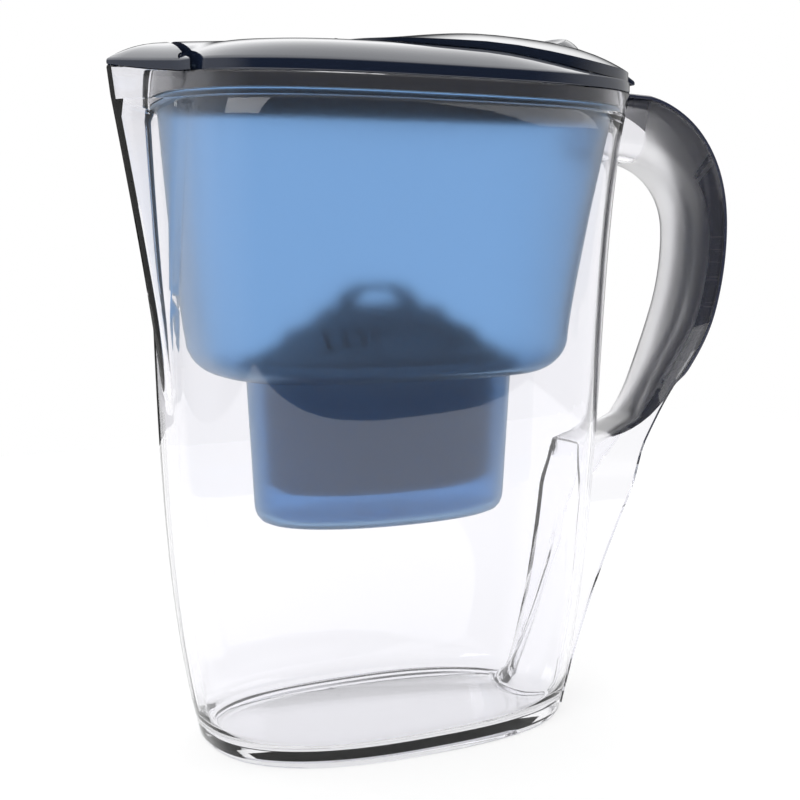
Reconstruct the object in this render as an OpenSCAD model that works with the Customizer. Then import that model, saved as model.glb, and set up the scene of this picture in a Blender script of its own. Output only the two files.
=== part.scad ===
// Water filter pitcher with a flip lid: a clear fridge-door jug, a lift-out
// hopper with its cartridge, and a lid with a flip cover and a spout flap.
// X runs from the spout (-) to the handle (+), Z is up, Y is the short way.

/* [Jug] */
// Height of the jug's rim above the table
rim_z = 245.5; // [225:0.5:265]
// Half length of the foot towards the spout
foot_front = 72; // [66:0.5:78]
// Half length of the foot towards the handle
foot_rear = 74; // [68:0.5:80]
// Half width of the foot
foot_half = 47; // [43:0.5:50]
// Half width of the rim
rim_half = 52; // [49:0.5:56]
// How far the front end swells out above the foot
tuck_front = 12.5; // [8:0.5:15]
// How far the rear end swells out above the foot
tuck_rear = 14; // [9:0.5:16]
// Outward lean of both ends from foot to rim
lean = 4; // [2:0.5:6]
// Extra flare of the rear end at the rim
rear_flare = 9.3; // [5:0.1:11]
// Wall thickness of the jug
jug_wall = 2.4; // [2:0.1:3]
// Height of the jug's inside floor
floor_z = 5; // [4.5:0.5:8]
// Width of the foot ring
foot_ring = 2.6; // [2:0.1:4]

/* [Spout] */
// Height at which the spout starts to stand out from the wall
spout_z = 132; // [110:1:150]
// Distance of the spout's lip from the jug's centre
spout_reach = 106.2; // [102:0.2:112]
// Half width of the spout at the rim
spout_half = 20; // [16:0.5:24]
// How far the lip rises above the rest of the rim
spout_lift = 3.8; // [0:0.2:5]

/* [Handle] */
// Distance of the grip's outer face from the jug's centre
grip_reach = 160; // [152:1:168]
// Half width of the handle
handle_half = 14.2; // [12.5:0.1:16]
// Depth of the handle from the finger side to the grip's back
handle_depth = 33.7; // [30:0.1:37]
// Height of the handle's widest point below the rim
handle_mid = 53.5; // [50:0.5:57]
// Thickness of the clear handle walls
handle_wall = 2.2; // [1.8:0.1:2.6]
// Thickness of the grip's outer strip
strip_t = 3; // [2.4:0.1:3.6]
// Depth of the grip from its back to its front edge
grip_depth = 19.4; // [14:0.2:24]
// Half distance between the two webs at the foot
web_foot_half = 18; // [15:0.5:21]
// Depth of the scoop in the rear wall at the foot
scoop_depth = 13.4; // [8:0.1:16]

/* [Hopper] */
// Width of the ledge in the jug that carries the hopper
ledge = 2.2; // [1.8:0.1:3]
// Depth of the ledge below the rim
ledge_drop = 7.5; // [6.5:0.1:10]
// Height of the hopper's floor, outside
hopper_z = 138; // [130:1:146]
// Half length of the hopper near its floor
hopper_long = 75.5; // [70:0.5:78]
// Half width of the hopper near its floor
hopper_half = 41.5; // [38:0.5:44]
// Wall thickness of the hopper
hopper_wall = 2; // [1.6:0.1:2.6]
// Thickness of the hopper's flange
flange_t = 2; // [1.6:0.1:2.6]
// Half length of the cartridge well at its mouth
well_long = 54; // [50:0.5:57]
// Half width of the cartridge well at its mouth
well_half = 32.5; // [30:0.5:33.5]
// Depth of the well below the hopper's floor
well_depth = 55.5; // [48:0.5:62]
// Radius of the outlet in the well's floor
outlet_r = 7; // [4:0.5:10]

/* [Cartridge] */
// Gap between the cartridge and the well at the mouth
cart_gap = 3.6; // [3:0.1:5]
// Height of the cartridge's bottom above the well's floor
cart_lift = 10; // [6:0.5:14]
// Wall thickness of the cartridge
cart_wall = 1.5; // [1.2:0.1:2]
// Thickness of the sealing ring under the cartridge's flange
gasket_t = 1.6; // [1.2:0.1:2.4]
// Height of the cartridge's cap above its flange
cap_h = 20; // [16:0.5:24]
// Height of the pull tab above the cap
tab_h = 9; // [6:0.5:12]

/* [Lid] */
// Height of the lid's edge above the rim
lid_edge = 4.5; // [3.8:0.1:6]
// Rise of the lid's dome above its edge
dome_h = 9.2; // [8:0.1:11]
// Thickness of the lid's shell
lid_wall = 1.8; // [1.5:0.1:2.2]
// Rise of the flip lid above the frame's edge
flip_rise = 16.5; // [15:0.1:19]
// Half width of the flip lid
flip_half = 42; // [39:0.5:44]
// Radius of the hinge barrels
barrel_r = 2.2; // [2:0.1:2.4]
// Radius of the hinge pins
pin_r = 1.2; // [1:0.1:1.4]
// Radius of the reminder dial
dial_r = 18.5; // [16:0.5:20]

/* [Hidden] */

fit = 0.3;          // gap between pieces that lift or turn past each other
drop_fit = 0.6;     // gap round a piece that drops into another
push_fit = 1;       // gap between the lid's skirt and the rim
pin_fit = 0.05;     // radial gap of a pin in its bore
sink = 0.5;         // overlap that joins two solids of one piece
big = 400;          // longer than the pitcher, for cutting blocks
rim_n = 3;          // squareness of the rim's outline
foot_n = 2.5;       // squareness of the foot's outline
spout_round = 1.5;  // radius of the spout's ridge
scoop_top = 85;     // height at which the scoop runs out
end_steps = 6;      // points across each end
side_steps = 12;    // points along each side
fine = 64;          // facets of the true cylinders

function lerp(a, b, t) = a + (b - a) * t;
function clamp01(t) = max(0, min(1, t));
function smooth(t) = let(c = clamp01(t)) c * c * (3 - 2 * c);
function flat(lists) = [for (l = lists) for (p = l) p];
function unit(v) = v / norm(v);

// Closed solid through rings of equally many points, first to last
module skin(rings) {
    m = len(rings[0]);
    last = len(rings) - 1;
    polyhedron(points = flat(rings), convexity = 10, faces = concat(
        [[for (j = [0 : m - 1]) j]],
        [[for (j = [m - 1 : -1 : 0]) last * m + j]],
        [for (i = [0 : last - 1]) for (j = [0 : m - 1]) let(k = (j + 1) % m)
            each [[i * m + j, (i + 1) * m + j, (i + 1) * m + k],
                  [i * m + j, (i + 1) * m + k, i * m + k]]]));
}

// ---- Outlines: rounded ends, drawn from the rear end round ----------------

// Distance of an outline's end from the middle, at one place across it
function end_x(y, length, half, n) =
    length * pow(max(0, 1 - pow(min(1, abs(y) / half), n)), 1 / n);

function side_points(f, r, half, n, a0, a1, s) = [for (i = [1 : side_steps - 1])
    let(a = s > 0 ? lerp(a0, a1, i / side_steps) : lerp(a1, a0, i / side_steps))
    [(a < 90 ? r : -f) * pow(abs(cos(a)), 2 / n), s * half * pow(sin(a), 2 / n)]];

// Outline whose rear end is drawn at the places yr and its front end at yf
function outline(rear, front, f, r, half, n) = let(
    a0 = asin(pow(rear[end_steps].y / half, n / 2)),
    a1 = 180 - asin(pow(front[0].y / half, n / 2)))
    concat(rear, side_points(f, r, half, n, a0, a1, 1),
           front, side_points(f, r, half, n, a0, a1, -1));
function steps(w) = [for (k = [0 : end_steps]) w * (2 * k / end_steps - 1)];

// Plain oval with different half lengths to the front and the rear
function egg(f, r, half, n, w = 12) = outline(
    [for (y = steps(w)) [end_x(y, r, half, n), y]],
    [for (y = steps(w)) [-end_x(y, f, half, n), -y]], f, r, half, n);
function at(z, points) = [for (p = points) [p.x, p.y, z]];

// ---- Shape of the jug at one height ---------------------------------------

function rise(z) = clamp01(z / rim_z);
function swell(z) = 1 - pow(1 - rise(z), 5);
function front_len(z) = foot_front + tuck_front * swell(z) + lean * rise(z);
function rear_len(z) = foot_rear + tuck_rear * swell(z) + lean * rise(z)
    + rear_flare * pow(rise(z), 6);
function half_w(z) = lerp(foot_half, rim_half, 1 - pow(1 - rise(z), 2));
function corner_n(z) = lerp(foot_n, rim_n, rise(z));

// Half distance between the webs behind the jug, and the scoop between them
function web_half(z) = lerp(web_foot_half, handle_half - handle_wall, clamp01(z / web_top));
function scoop(z) = scoop_depth * pow(clamp01(1 - z / scoop_top), 2.1);

// Place of the rear wall at height z and y across it, drawn in by inset
function wall_x(z, y, inset) = let(r = rear_len(z) - inset, c = web_half(z) + inset, d = scoop(z))
    min(end_x(y, r, half_w(z) - inset, corner_n(z)),
        d > 0 ? r - d + c - sqrt(max(0, c * c - y * y)) : r);

// The spout: place of its ridge, its half width and the lift of its lip
function spout_u(z) = clamp01((z - spout_z) / (rim_z - spout_z));
function ridge(z) = lerp(front_len(spout_z) + 1.5, spout_reach, pow(spout_u(z), 1.15));
function lift(x) = spout_lift * pow(clamp01((-x - 70) / (spout_reach - 70)), 2);

// Outline of the jug at height z, drawn in by inset
function jug_outline(z, inset) = let(
    f = front_len(z) - inset, r = rear_len(z) - inset, half = half_w(z) - inset,
    n = corner_n(z), d = scoop(z), c = web_half(z) + inset,
    w = max(6, sqrt(max(0, c * c - pow(c - d, 2)))),
    sw = max(6, spout_half * pow(spout_u(z), 0.9) - 0.4 * inset),
    tip = ridge(z) - 1.35 * inset, foot = end_x(sw, f, half, n), e = spout_round)
    outline(
        [for (y = steps(w)) [wall_x(z, y, inset), y]],
        [for (y = steps(sw)) let(v = (sqrt(y * y + e * e) - e) / (sqrt(sw * sw + e * e) - e))
            [-max(end_x(y, f, half, n), spout_u(z) > 0 ? lerp(tip, foot, v) : 0), -y]],
        f, r, half, n);
function level(z, inset) = at(z, jug_outline(z, inset));
function rim_level(inset, up) =
    [for (p = jug_outline(rim_z, inset)) [p.x, p.y, rim_z + up + lift(p.x)]];

// ---- Jug ------------------------------------------------------------------

levels = [for (u = [0.024, 0.053, 0.09, 0.147, 0.21, 0.285, 0.36, 0.45, 0.54,
                    0.605, 0.69, 0.79, 0.885, 0.945]) u * rim_z];
ledge_z = rim_z - ledge_drop;
pocket = jug_wall - 0.7;    // inset of the rim above the ledge

module jug_shell() {
    skin(concat(
        [level(floor_z - 2.6, foot_ring + 0.9), level(0, foot_ring + 0.5)],
        [level(0, 0.9), level(1.2, 0)],
        [for (z = levels) level(z, 0)],
        [rim_level(0.3, 0), rim_level(pocket, 0)],
        [level(ledge_z, pocket), level(ledge_z, pocket + ledge)],
        [level(ledge_z - 6, jug_wall)],
        [for (i = [len(levels) - 2 : -1 : 1]) level(levels[i], jug_wall)],
        [level(floor_z + 3, jug_wall + 0.6), level(floor_z, jug_wall + 3)]));
}

// ---- Handle: two curves in the XZ plane, the grip's back and finger side ---

mid_z = rim_z - handle_mid;
finger_x = grip_reach - handle_depth;
top_steps = 8;
low_steps = 11;
stations = top_steps + low_steps + 1;
web_station = top_steps + 7;

function arc_pt(cx, cz, a, b, n, ang) =
    [cx + a * pow(cos(ang), 2 / n), cz + b * sign(ang) * pow(abs(sin(ang)), 2 / n)];
function top_angle(a, i) = a * (1 - (i - 1) / (top_steps - 1));
function back_pt(i) =
    i <= top_steps ? arc_pt(grip_reach - 56, mid_z, 56, 57.5, 2.2, top_angle(78, i))
    : i < stations ? arc_pt(grip_reach - 60, mid_z, 60, 86, 1.95, -84 * (i - top_steps) / low_steps)
    : [grip_reach - 63, mid_z - 87.5];
function finger_low(dz) = dz < 30 ? finger_x - 72 + sqrt(72 * 72 - dz * dz)
    : finger_x - 6.5 - 0.458 * (dz - 30);
function finger_pt(i) = let(dz = 80.5 * (i - top_steps) / low_steps)
    i <= top_steps ? arc_pt(finger_x - 28.3, mid_z - 2, 28.3, 32, 2, top_angle(72, i))
    : i < stations ? [finger_low(dz), mid_z - 2 - dz]
    : [rear_len(mid_z - 89) - 1.4, mid_z - 89.5];
// The first station stands on the jug's wall, dx outside its face
function root_pt(dx, up) = [rear_len(min(rim_z, mid_z + up)) + dx, mid_z + up];

function depth(i) = norm(back_pt(i) - finger_pt(i));
function along(a, b, s) = a + s * unit(b - a);
web_end = along(finger_pt(web_station), back_pt(web_station), depth(web_station) - strip_t);
web_top = finger_pt(web_station).y;
function half_at(i) = web_half((finger_pt(i).y + back_pt(i).y) / 2) + handle_wall;

// Free edge of the webs, which run from the handle down to the foot
web_low = 0.6;              // height of the webs' lower end
function web_edge(z) = let(x0 = foot_rear + 2.6, m = 0.3, h = web_end.y)
    x0 + m * z + (web_end.x - x0 - m * h) * pow(z / h, 2);
// Distance along d from a to that edge, found step by step from a first guess
function edge_s(a, d, s, n = 6) = n == 0 ? s
    : let(p = a + s * d) edge_s(a, d, s + (web_edge(p.y) - p.x) / (d.x - 0.5 * d.y), n - 1);

// Rounding of the finger side, which dies away where the webs take over
function corner(i) = lerp(8, 2, smooth((i - web_station) / 4));
function station_end(i) = let(a = finger_pt(i), b = back_pt(i))
    i < web_station ? depth(i) - strip_t : edge_s(a, unit(b - a), depth(i));

// U section between a (finger side) and b, open at its end s1
function u_section(a, b, s1, r) = let(w = handle_wall, q = min(r, s1 * 0.7), q2 = q - 1,
    put = function(s, side, t) let(p = along(a, b, s)) [p.x, side * (web_half(p.y) + t), p.y],
    turn = [0, 30, 60, 90], back = [90, 60, 30, 0])
    concat([put(s1, -1, w)],
        [for (v = turn) put(q - q * sin(v), -1, w - q + q * cos(v))],
        [for (v = back) put(q - q * sin(v), 1, w - q + q * cos(v))],
        [put(s1, 1, w), put(s1, 1, 0)],
        [for (v = turn) put(w + q2 - q2 * sin(v), 1, q2 * cos(v) - q2)],
        [for (v = back) put(w + q2 - q2 * sin(v), -1, q2 * cos(v) - q2)],
        [put(s1, -1, 0)]);
// The webs at height z, joined by a bridge that stays within the jug's wall
function web_section(z) = let(c = web_half(z), w = c + handle_wall, x = web_edge(z),
    out = [1, 0.8, 0.45, 0.1], back = [0.1, 0.45, 0.8, 1])
    concat([[x, -w, z]], [for (f = out) [wall_x(z, w * f, 1.7), -w * f, z]],
        [for (f = back) [wall_x(z, w * f, 1.7), w * f, z]], [[x, w, z], [x, c, z]],
        [for (f = out) [wall_x(z, c * f, 0.7), c * f, z]],
        [for (f = back) [wall_x(z, c * f, 0.7), -c * f, z]], [[x, -c, z]]);

module handle_channel() {
    skin(concat([u_section(root_pt(-1.3, 30), root_pt(-1.3, handle_mid - 0.3), 23.2, 8)],
        [for (i = [1 : stations]) u_section(finger_pt(i), back_pt(i), station_end(i), corner(i))],
        [for (k = [0 : 9]) web_section(lerp(mid_z - 96, web_low, k / 9))]));
}

module jug_body() {
    color([0.86, 0.88, 0.96, 0.45]) {
        jug_shell();
        handle_channel();
    }
}

// Grip section: a body between the walls and a crowned strip over their edges
function grip_section(a, b, d, front, half, cap) = let(inner = half - handle_wall - fit,
    q = min(5, front * 0.4), s0 = d - front, s1 = d - strip_t + fit, s2 = d - strip_t * 0.4,
    put = function(s, y) let(p = along(a, b, s)) [p.x, y, p.y],
    side = [[d - strip_t * 0.12, cap * 0.6], [s2, cap], [s1, cap], [s1, inner]],
    nose = [for (t = [0, 45, 90]) [s0 + q - q * sin(t), inner - q + q * cos(t)]])
    concat([put(d, 0)],
        [for (p = concat(side, nose)) put(p[0], -p[1])],
        [for (k = [len(nose) - 1 : -1 : 0]) put(nose[k][0], nose[k][1])],
        [for (k = [len(side) - 1 : -1 : 0]) put(side[k][0], side[k][1])]);
function grip_front(i) = let(u = i / stations)
    min(depth(i) - handle_wall - 2, lerp(5.5, grip_depth, clamp01(min(u, 1 - u) * 4.5)));
function cap_half(i) = i < web_station ? half_at(i) : half_at(i) - handle_wall - fit;

module handle_grip() {
    color([0.07, 0.08, 0.16])
        skin(concat([grip_section(root_pt(0.9, 30), root_pt(0.9, handle_mid + 3.9), 27.4,
                5.5, handle_half, handle_half)],
            [for (i = [1 : stations]) grip_section(finger_pt(i), back_pt(i), depth(i),
                grip_front(i), half_at(i), cap_half(i))]));
}

// ---- Hopper ---------------------------------------------------------------

seat = 0.2;         // gap under a piece that rests on another
hopper_n = 2.9;
well_n = 2.2;
hopper_round = 18;  // width of the rounded edge of the floor at the ends
side_round = 4.5;   // its width along the sides
hopper_drop = 14;   // height of the rounded edge
flange_z = ledge_z + seat + flange_t;
hopper_foot_z = hopper_z + hopper_drop;
well_z = hopper_z - well_depth;
mouth_in = pocket + ledge + drop_fit;   // inset of the hopper's wall at the ledge

// Hopper wall at height z, drawn in by inset
function hopper_u(z) = clamp01((z - hopper_foot_z) / (ledge_z - hopper_foot_z));
function hopper_ring(z, inset, side = 0) = let(u = hopper_u(z)) at(z, egg(
    lerp(hopper_long, front_len(ledge_z) - mouth_in, pow(u, 0.75)) - inset,
    lerp(hopper_long + 0.5, rear_len(ledge_z) - mouth_in, pow(u, 1.2)) - inset,
    lerp(hopper_half, half_w(ledge_z) - mouth_in, u) - inset - side, hopper_n));
function flange_ring(z, inset) = at(z, egg(front_len(z) - inset, rear_len(z) - inset,
    half_w(z) - inset, rim_n));
function well_ring(z, inset) = let(t = 3 * (hopper_z - z) / well_depth)
    at(z, egg(well_long - t - inset, well_long - t - inset, well_half - t - inset, well_n));
function hopper_edge(a, inset, up) = let(v = 1 - cos(a), i = inset + (hopper_round - inset) * v)
    [for (p = hopper_ring(hopper_foot_z, i, inset + (side_round - inset) * v - i))
        [p.x, p.y, hopper_foot_z - (hopper_drop - up) * sin(a)]];

module hopper_shell() {
    h = ledge_z - hopper_foot_z;
    skin(concat(
        [well_ring(well_z, 7), well_ring(well_z + 1.8, 2.2), well_ring(well_z + 6, 0)],
        [well_ring(hopper_z - 1.5, 0), well_ring(hopper_z, -1.5)],
        [for (a = [90, 60, 30]) hopper_edge(a, 0, 0)],
        [for (k = [0 : 5]) hopper_ring(hopper_foot_z + h * k / 5, 0)],
        [flange_ring(ledge_z + seat, pocket + drop_fit), flange_ring(flange_z, pocket + drop_fit)],
        [for (p = [hopper_ring(ledge_z, hopper_wall)]) [for (q = p) [q.x, q.y, flange_z]]],
        [for (k = [4 : -1 : 0]) hopper_ring(hopper_foot_z + h * k / 5, hopper_wall)],
        [for (a = [30, 60, 90]) hopper_edge(a, hopper_wall, hopper_wall)],
        [well_ring(hopper_z + hopper_wall, hopper_wall - 1.5)],
        [well_ring(hopper_z - 0.5, hopper_wall), well_ring(well_z + 6.5, hopper_wall)],
        [well_ring(well_z + 3, hopper_wall + 2), well_ring(well_z + hopper_wall, hopper_wall + 6)]));
}

module hopper() {
    color([0.3, 0.5, 0.78, 0.6])
        difference() {
            union() {
                hopper_shell();
                translate([0, 0, well_z - 3])
                    cylinder(r = outlet_r + 1.6, h = 3 + sink, $fn = fine);
            }
            translate([0, 0, well_z - 10])
                cylinder(r = outlet_r, h = 20, $fn = fine);
        }
}

// ---- Cartridge ------------------------------------------------------------

floor_in = hopper_z + hopper_wall;      // the hopper's floor, inside
cart_z = well_z + hopper_wall + cart_lift;
cart_top = floor_in + seat + gasket_t;  // underside of the cartridge's flange
flange_over = 3;                        // how far the flange covers the floor
cart_long = well_long - hopper_wall - cart_gap;
cart_half = well_half - hopper_wall - cart_gap;
flange_h = 2;

// Outline of the cartridge at height z, drawn in by inset
function cart_ring(z, inset) = let(t = 2.4 * (cart_top - z) / (cart_top - cart_z))
    at(z, egg(cart_long - t - inset, cart_long - t - inset, cart_half - t - inset, well_n, 9));
function mouth_ring(z, over) = at(z, egg(well_long + over, well_long + over,
    well_half + over, well_n, 9));

module cartridge_shell() {
    color([0.93, 0.94, 0.96])
        difference() {
            skin([cart_ring(cart_z, 4), cart_ring(cart_z + 3, 0), cart_ring(cart_top, 0),
                mouth_ring(cart_top, flange_over), mouth_ring(cart_top + flange_h, flange_over),
                cart_ring(cart_top + flange_h, cart_wall), cart_ring(cart_z + 4, cart_wall),
                cart_ring(cart_z + cart_wall, cart_wall + 3)]);
            for (x = [-28 : 8 : 28]) for (y = [-12, -4, 4, 12])
                translate([x, y, cart_z - 1])
                    cylinder(d = 3, h = cart_wall + 2, $fn = 16);
        }
}

module cartridge_gasket() {
    color([0.75, 0.78, 0.82])
        translate([0, 0, floor_in + seat])
            linear_extrude(gasket_t - 0.02)
                difference() {
                    polygon(egg(well_long + 2.2, well_long + 2.2, well_half + 2.2, well_n, 9));
                    polygon(egg(cart_long + 0.5, cart_long + 0.5, cart_half + 0.5, well_n, 9));
                }
}

bed_z = cart_z + cart_wall + 2.4;
bed_h = cart_top - bed_z - 6;

module cart_disc(z, h, inset) {
    s = cart_ring(z, cart_wall + inset);
    translate([0, 0, z])
        linear_extrude(h)
            polygon([for (p = s) [p.x, p.y]]);
}

module lower_screen() {
    color([0.9, 0.9, 0.9])
        cart_disc(bed_z - 1, 1, 1.6);
}

module granule_bed() {
    color([0.15, 0.15, 0.16])
        skin([cart_ring(bed_z, cart_wall + 1), cart_ring(bed_z + bed_h, cart_wall + 0.4)]);
}

module upper_screen() {
    color([0.9, 0.9, 0.9])
        cart_disc(bed_z + bed_h, 1, 0.6);
}

// Cap in two domed steps with slots, and a pull tab across its top
cap_z = cart_top + flange_h;
function cap_ring(u, up) = at(cap_z + cap_h * up,
    egg(cart_long * u, cart_long * u, cart_half * u, well_n, 9 * u));

module cap_slots() {
    for (s = [-1, 1]) for (x = [-30 : 6 : 30])
        translate([x, s * cart_half * 0.62, cap_z + cap_h * 0.42])
            rotate([s * 24, 0, 0])
                cube([2.4, 9, 8], center = true);
}

module cartridge_cap() {
    color([0.9, 0.91, 0.94]) {
        difference() {
            skin([cap_ring(1.04, 0.004), cap_ring(1.04, 0.12), cap_ring(0.86, 0.34),
                cap_ring(0.8, 0.55), cap_ring(0.6, 0.72), cap_ring(0.52, 0.94), cap_ring(0.46, 1),
                cap_ring(0.4, 1)]);
            skin([cap_ring(0.98, -0.1), cap_ring(0.98, 0.08), cap_ring(0.8, 0.3),
                cap_ring(0.74, 0.5), cap_ring(0.54, 0.66), cap_ring(0.46, 0.86), cap_ring(0.4, 0.92)]);
            cap_slots();
        }
        translate([-2, 0, cap_z + cap_h - sink])
            rotate([90, 0, 0])
                linear_extrude(5, center = true)
                    difference() {
                        polygon([[-17, 0], [17, 0], [15, tab_h * 0.6], [8, tab_h], [-8, tab_h],
                            [-15, tab_h * 0.6]]);
                        polygon([[-11, 1.5], [11, 1.5], [7, tab_h - 2.5], [-7, tab_h - 2.5]]);
                    }
    }
}

// ---- Lid: one dome, cut at the flap's hinge -------------------------------

lid_z = rim_z + lid_edge;
hinge_x = -84.3;            // spout flap's hinge line
hinge_z = lid_z + 0.5;
flap_end = hinge_x - 0.6;   // rear face of the flap
frame_end = hinge_x + 2.3;  // front face of the frame
flap_pin_y = 15;            // half length of the flap's barrel
skirt_in = pocket + push_fit;
skirt_t = 1.6;

// Rise of the dome, which dies away towards the handle
function fade(x) = 1 - smooth((x - 15) / 95);
function dome_ring(s, drop) = [for (p = jug_outline(rim_z, 0)) let(x = p.x * s)
    [x, p.y * s, lid_z + 0.35 * lift(p.x) * smooth(2.5 * s - 1.5) - drop
        + dome_h * fade(x) * (1 - pow(s, 8))]];
// Height of the dome over a place behind the spout
function dome_z(x, y) = let(s = pow(pow(abs(x) / (x < 0 ? front_len(rim_z) : rear_len(rim_z)), rim_n)
    + pow(abs(y) / rim_half, rim_n), 1 / rim_n)) lid_z + dome_h * fade(x) * (1 - pow(min(1, s), 8));

module lid_outer() {
    skin(concat([at(rim_z + fit, [for (p = jug_outline(rim_z, 0)) p * 0.5])],
        [rim_level(0.5, fit), rim_level(0, fit + 0.6)],
        [for (s = [1, 0.985, 0.96, 0.93, 0.88, 0.8, 0.65, 0.4, 0.03]) dome_ring(s, s == 1 ? 0.4 : 0)]));
}
module lid_inner() {
    inset = skirt_in + skirt_t;
    skin(concat([for (z = [rim_z - 4, lid_z - lid_wall]) level(z, inset)],
        [for (s = [0.9, 0.84, 0.75, 0.6, 0.4, 0.03]) dome_ring(s, lid_wall)]));
}
// Block of the pitcher's full width through an outline in the XZ plane
module across(points, half) {
    rotate([90, 0, 0])
        linear_extrude(2 * half, center = true)
            polygon(points);
}
module barrel(x, z, y0, y1, r) {
    translate([x, y0, z])
        rotate([-90, 0, 0])
            cylinder(r = r, h = y1 - y0, $fn = fine);
}

// Hinge of the flip lid, on the deck ahead of the fill opening
flip_x = -29.3;
flip_z = lid_z + dome_h - 1;
flip_pin_y = 18;
knuckle = 4.7;
fill_x = 33;                // middle of the fill opening
fill_long = 50;
fill_half = 31;

module lid_frame() {
    color([0.03, 0.05, 0.11])
        difference() {
            union() {
                difference() {
                    union() {
                        difference() {
                            lid_outer();
                            intersection() {
                                lid_inner();
                                translate([frame_end + lid_wall, -big / 2, 0]) cube(big);
                            }
                        }
                        skirt();
                    }
                    across([[-big, rim_z + 0.1], [frame_end, rim_z + 0.1], [frame_end, lid_z + 30],
                        [-big, lid_z + 30]], big / 2);
                }
                for (s = [-1, 1]) {
                    y = s * (flap_pin_y + fit + 2);
                    barrel(hinge_x, hinge_z, y - 2, y + 2, barrel_r);
                    translate([hinge_x, y - 2, hinge_z - 1.5]) cube([4, 4, 3]);
                    yf = s * (flip_pin_y + fit + knuckle / 2);
                    barrel(flip_x, flip_z, yf - knuckle / 2, yf + knuckle / 2, barrel_r);
                }
            }
            barrel(hinge_x, hinge_z, -flap_pin_y - fit, flap_pin_y + fit, barrel_r + 0.4);
            barrel(hinge_x, hinge_z, -flap_pin_y - 5, flap_pin_y + 5, pin_r + pin_fit);
            translate([flip_x - barrel_r - 0.9, -flip_pin_y - fit, flip_z - 5])
                cube([2 * barrel_r + 1.8, 2 * (flip_pin_y + fit), 10]);
            barrel(flip_x, flip_z, -flip_pin_y - 5, flip_pin_y + 5, pin_r + pin_fit);
            translate([fill_x, 0, rim_z])
                linear_extrude(30)
                    polygon(egg(fill_long, fill_long, fill_half, 2.8));
        }
}

module skirt() {
    bottom = flange_z + fit;
    translate([0, 0, bottom])
        linear_extrude(rim_z + fit + 0.7 - bottom)
            difference() {
                polygon(skirt_outline(skirt_in));
                polygon(skirt_outline(skirt_in + skirt_t));
            }
}
function skirt_outline(inset) = egg(front_len(rim_z) - inset, rear_len(ledge_z) - inset,
    rim_half - inset, rim_n);

// ---- Flip lid -------------------------------------------------------------

flip_mid = 35;              // middle of the flip lid's outline
flip_front = flip_mid - flip_x - 1.8;
flip_rear = rear_len(rim_z) - flip_mid;
dial_x = 75;

function flip_outline(u) = [for (p = egg(flip_front * u, flip_rear * u, flip_half * u, 3.2, 12 * u))
    [p.x + flip_mid, p.y]];
function flip_edge(x) = lid_z + dome_h + 1.1 - 6.3 * smooth((x - 20) / 80);
function flip_crown(x, u) = let(e = flip_edge(x)) lerp(e, lid_z + flip_rise, 1 - pow(u, 3.3));
function flip_top(u) = let(rim = flip_outline(1), q = flip_outline(u))
    [for (j = [0 : len(q) - 1]) [q[j].x, q[j].y, flip_crown(rim[j].x, u)]];
function flip_under(u) = [for (p = flip_top(u)) [p.x, p.y, max(p.z - lid_wall, dome_z(p.x, p.y) + fit)]];

module dial_frame() {
    translate([dial_x, 0, lid_z + flip_rise - 1.9])
        rotate([0, 11, 0])
            children();
}
dial_t = 3.2;               // thickness of the dial in its middle
dial_sag = 1.9;             // fall of its face from the middle to the edge
pad_t = 1.8;                // thickness of the pad under the dial
stub_r = 2.4;               // radius of the stub that the dial turns on

module flip_lid() {
    color([0.03, 0.05, 0.11])
        difference() {
            union() {
                skin(concat([for (u = [0.03, 0.3, 0.6, 0.8, 0.92, 0.96]) flip_under(u)],
                    [[for (p = flip_outline(1)) [p.x, p.y, dome_z(p.x, p.y) + fit]]],
                    [for (u = [1, 0.975, 0.93, 0.86, 0.74, 0.58, 0.38, 0.18, 0.03]) flip_top(u)]));
                barrel(flip_x, flip_z, -flip_pin_y, flip_pin_y, barrel_r);
                barrel(flip_x, flip_z, -flip_pin_y - 4, flip_pin_y + 4, pin_r);
                across([[flip_x, lid_z + dome_h + fit], [flip_x + 5, lid_z + dome_h + fit],
                    [flip_x + 5, lid_z + dome_h + 1.3], [flip_x, lid_z + dome_h + 1.1]], flip_pin_y);
                rear_lip();
                dial_frame() translate([0, 0, -dial_t - fit - pad_t])
                    cylinder(r = dial_r + fit + 1.2, h = pad_t + dial_t - dial_sag, $fn = fine);
            }
            dial_frame() {
                translate([0, 0, -dial_t - fit]) cylinder(r = dial_r + fit, h = 18, $fn = fine);
                translate([0, 0, -20]) cylinder(r = stub_r + pin_fit, h = 30, $fn = fine);
            }
        }
}

// Thumb lip over the handle's root
module rear_lip() {
    x = rear_len(rim_z);
    across([[x - 2, lid_z + 1.6], [x - 2, lid_z + 5.5], [x + 2, lid_z + 5.7], [x + 6, lid_z + 4.7],
        [x + 8.6, lid_z + 3.2], [x + 9.2, lid_z + 1.4], [x + 7.6, lid_z + 1.2], [x + 6, lid_z + 2],
        [x + 1, lid_z + 1.9]], 12);
}

// ---- Reminder dial --------------------------------------------------------

module reminder_dial() {
    head_z = -dial_t - 2 * fit - pad_t;     // top of the snap head below the pad
    color([0.02, 0.03, 0.06])
        dial_frame() {
            rotate_extrude($fn = fine)
                polygon(concat([[0, head_z - 1.6], [stub_r, head_z - 1.6], [stub_r + 1, head_z],
                    [stub_r, head_z], [stub_r, -dial_t], [dial_r, -dial_t]],
                    [for (k = [6 : -1 : 0]) [dial_r * k / 6, -dial_sag * pow(k / 6, 2)]]));
            skin([for (k = [0 : 8]) let(r = lerp(bump_foot, 0.2, pow(k / 8, 0.7)))
                [for (a = [0 : 10 : 350]) bump_pt(r, a, k == 8)]]);
        }
}

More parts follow.
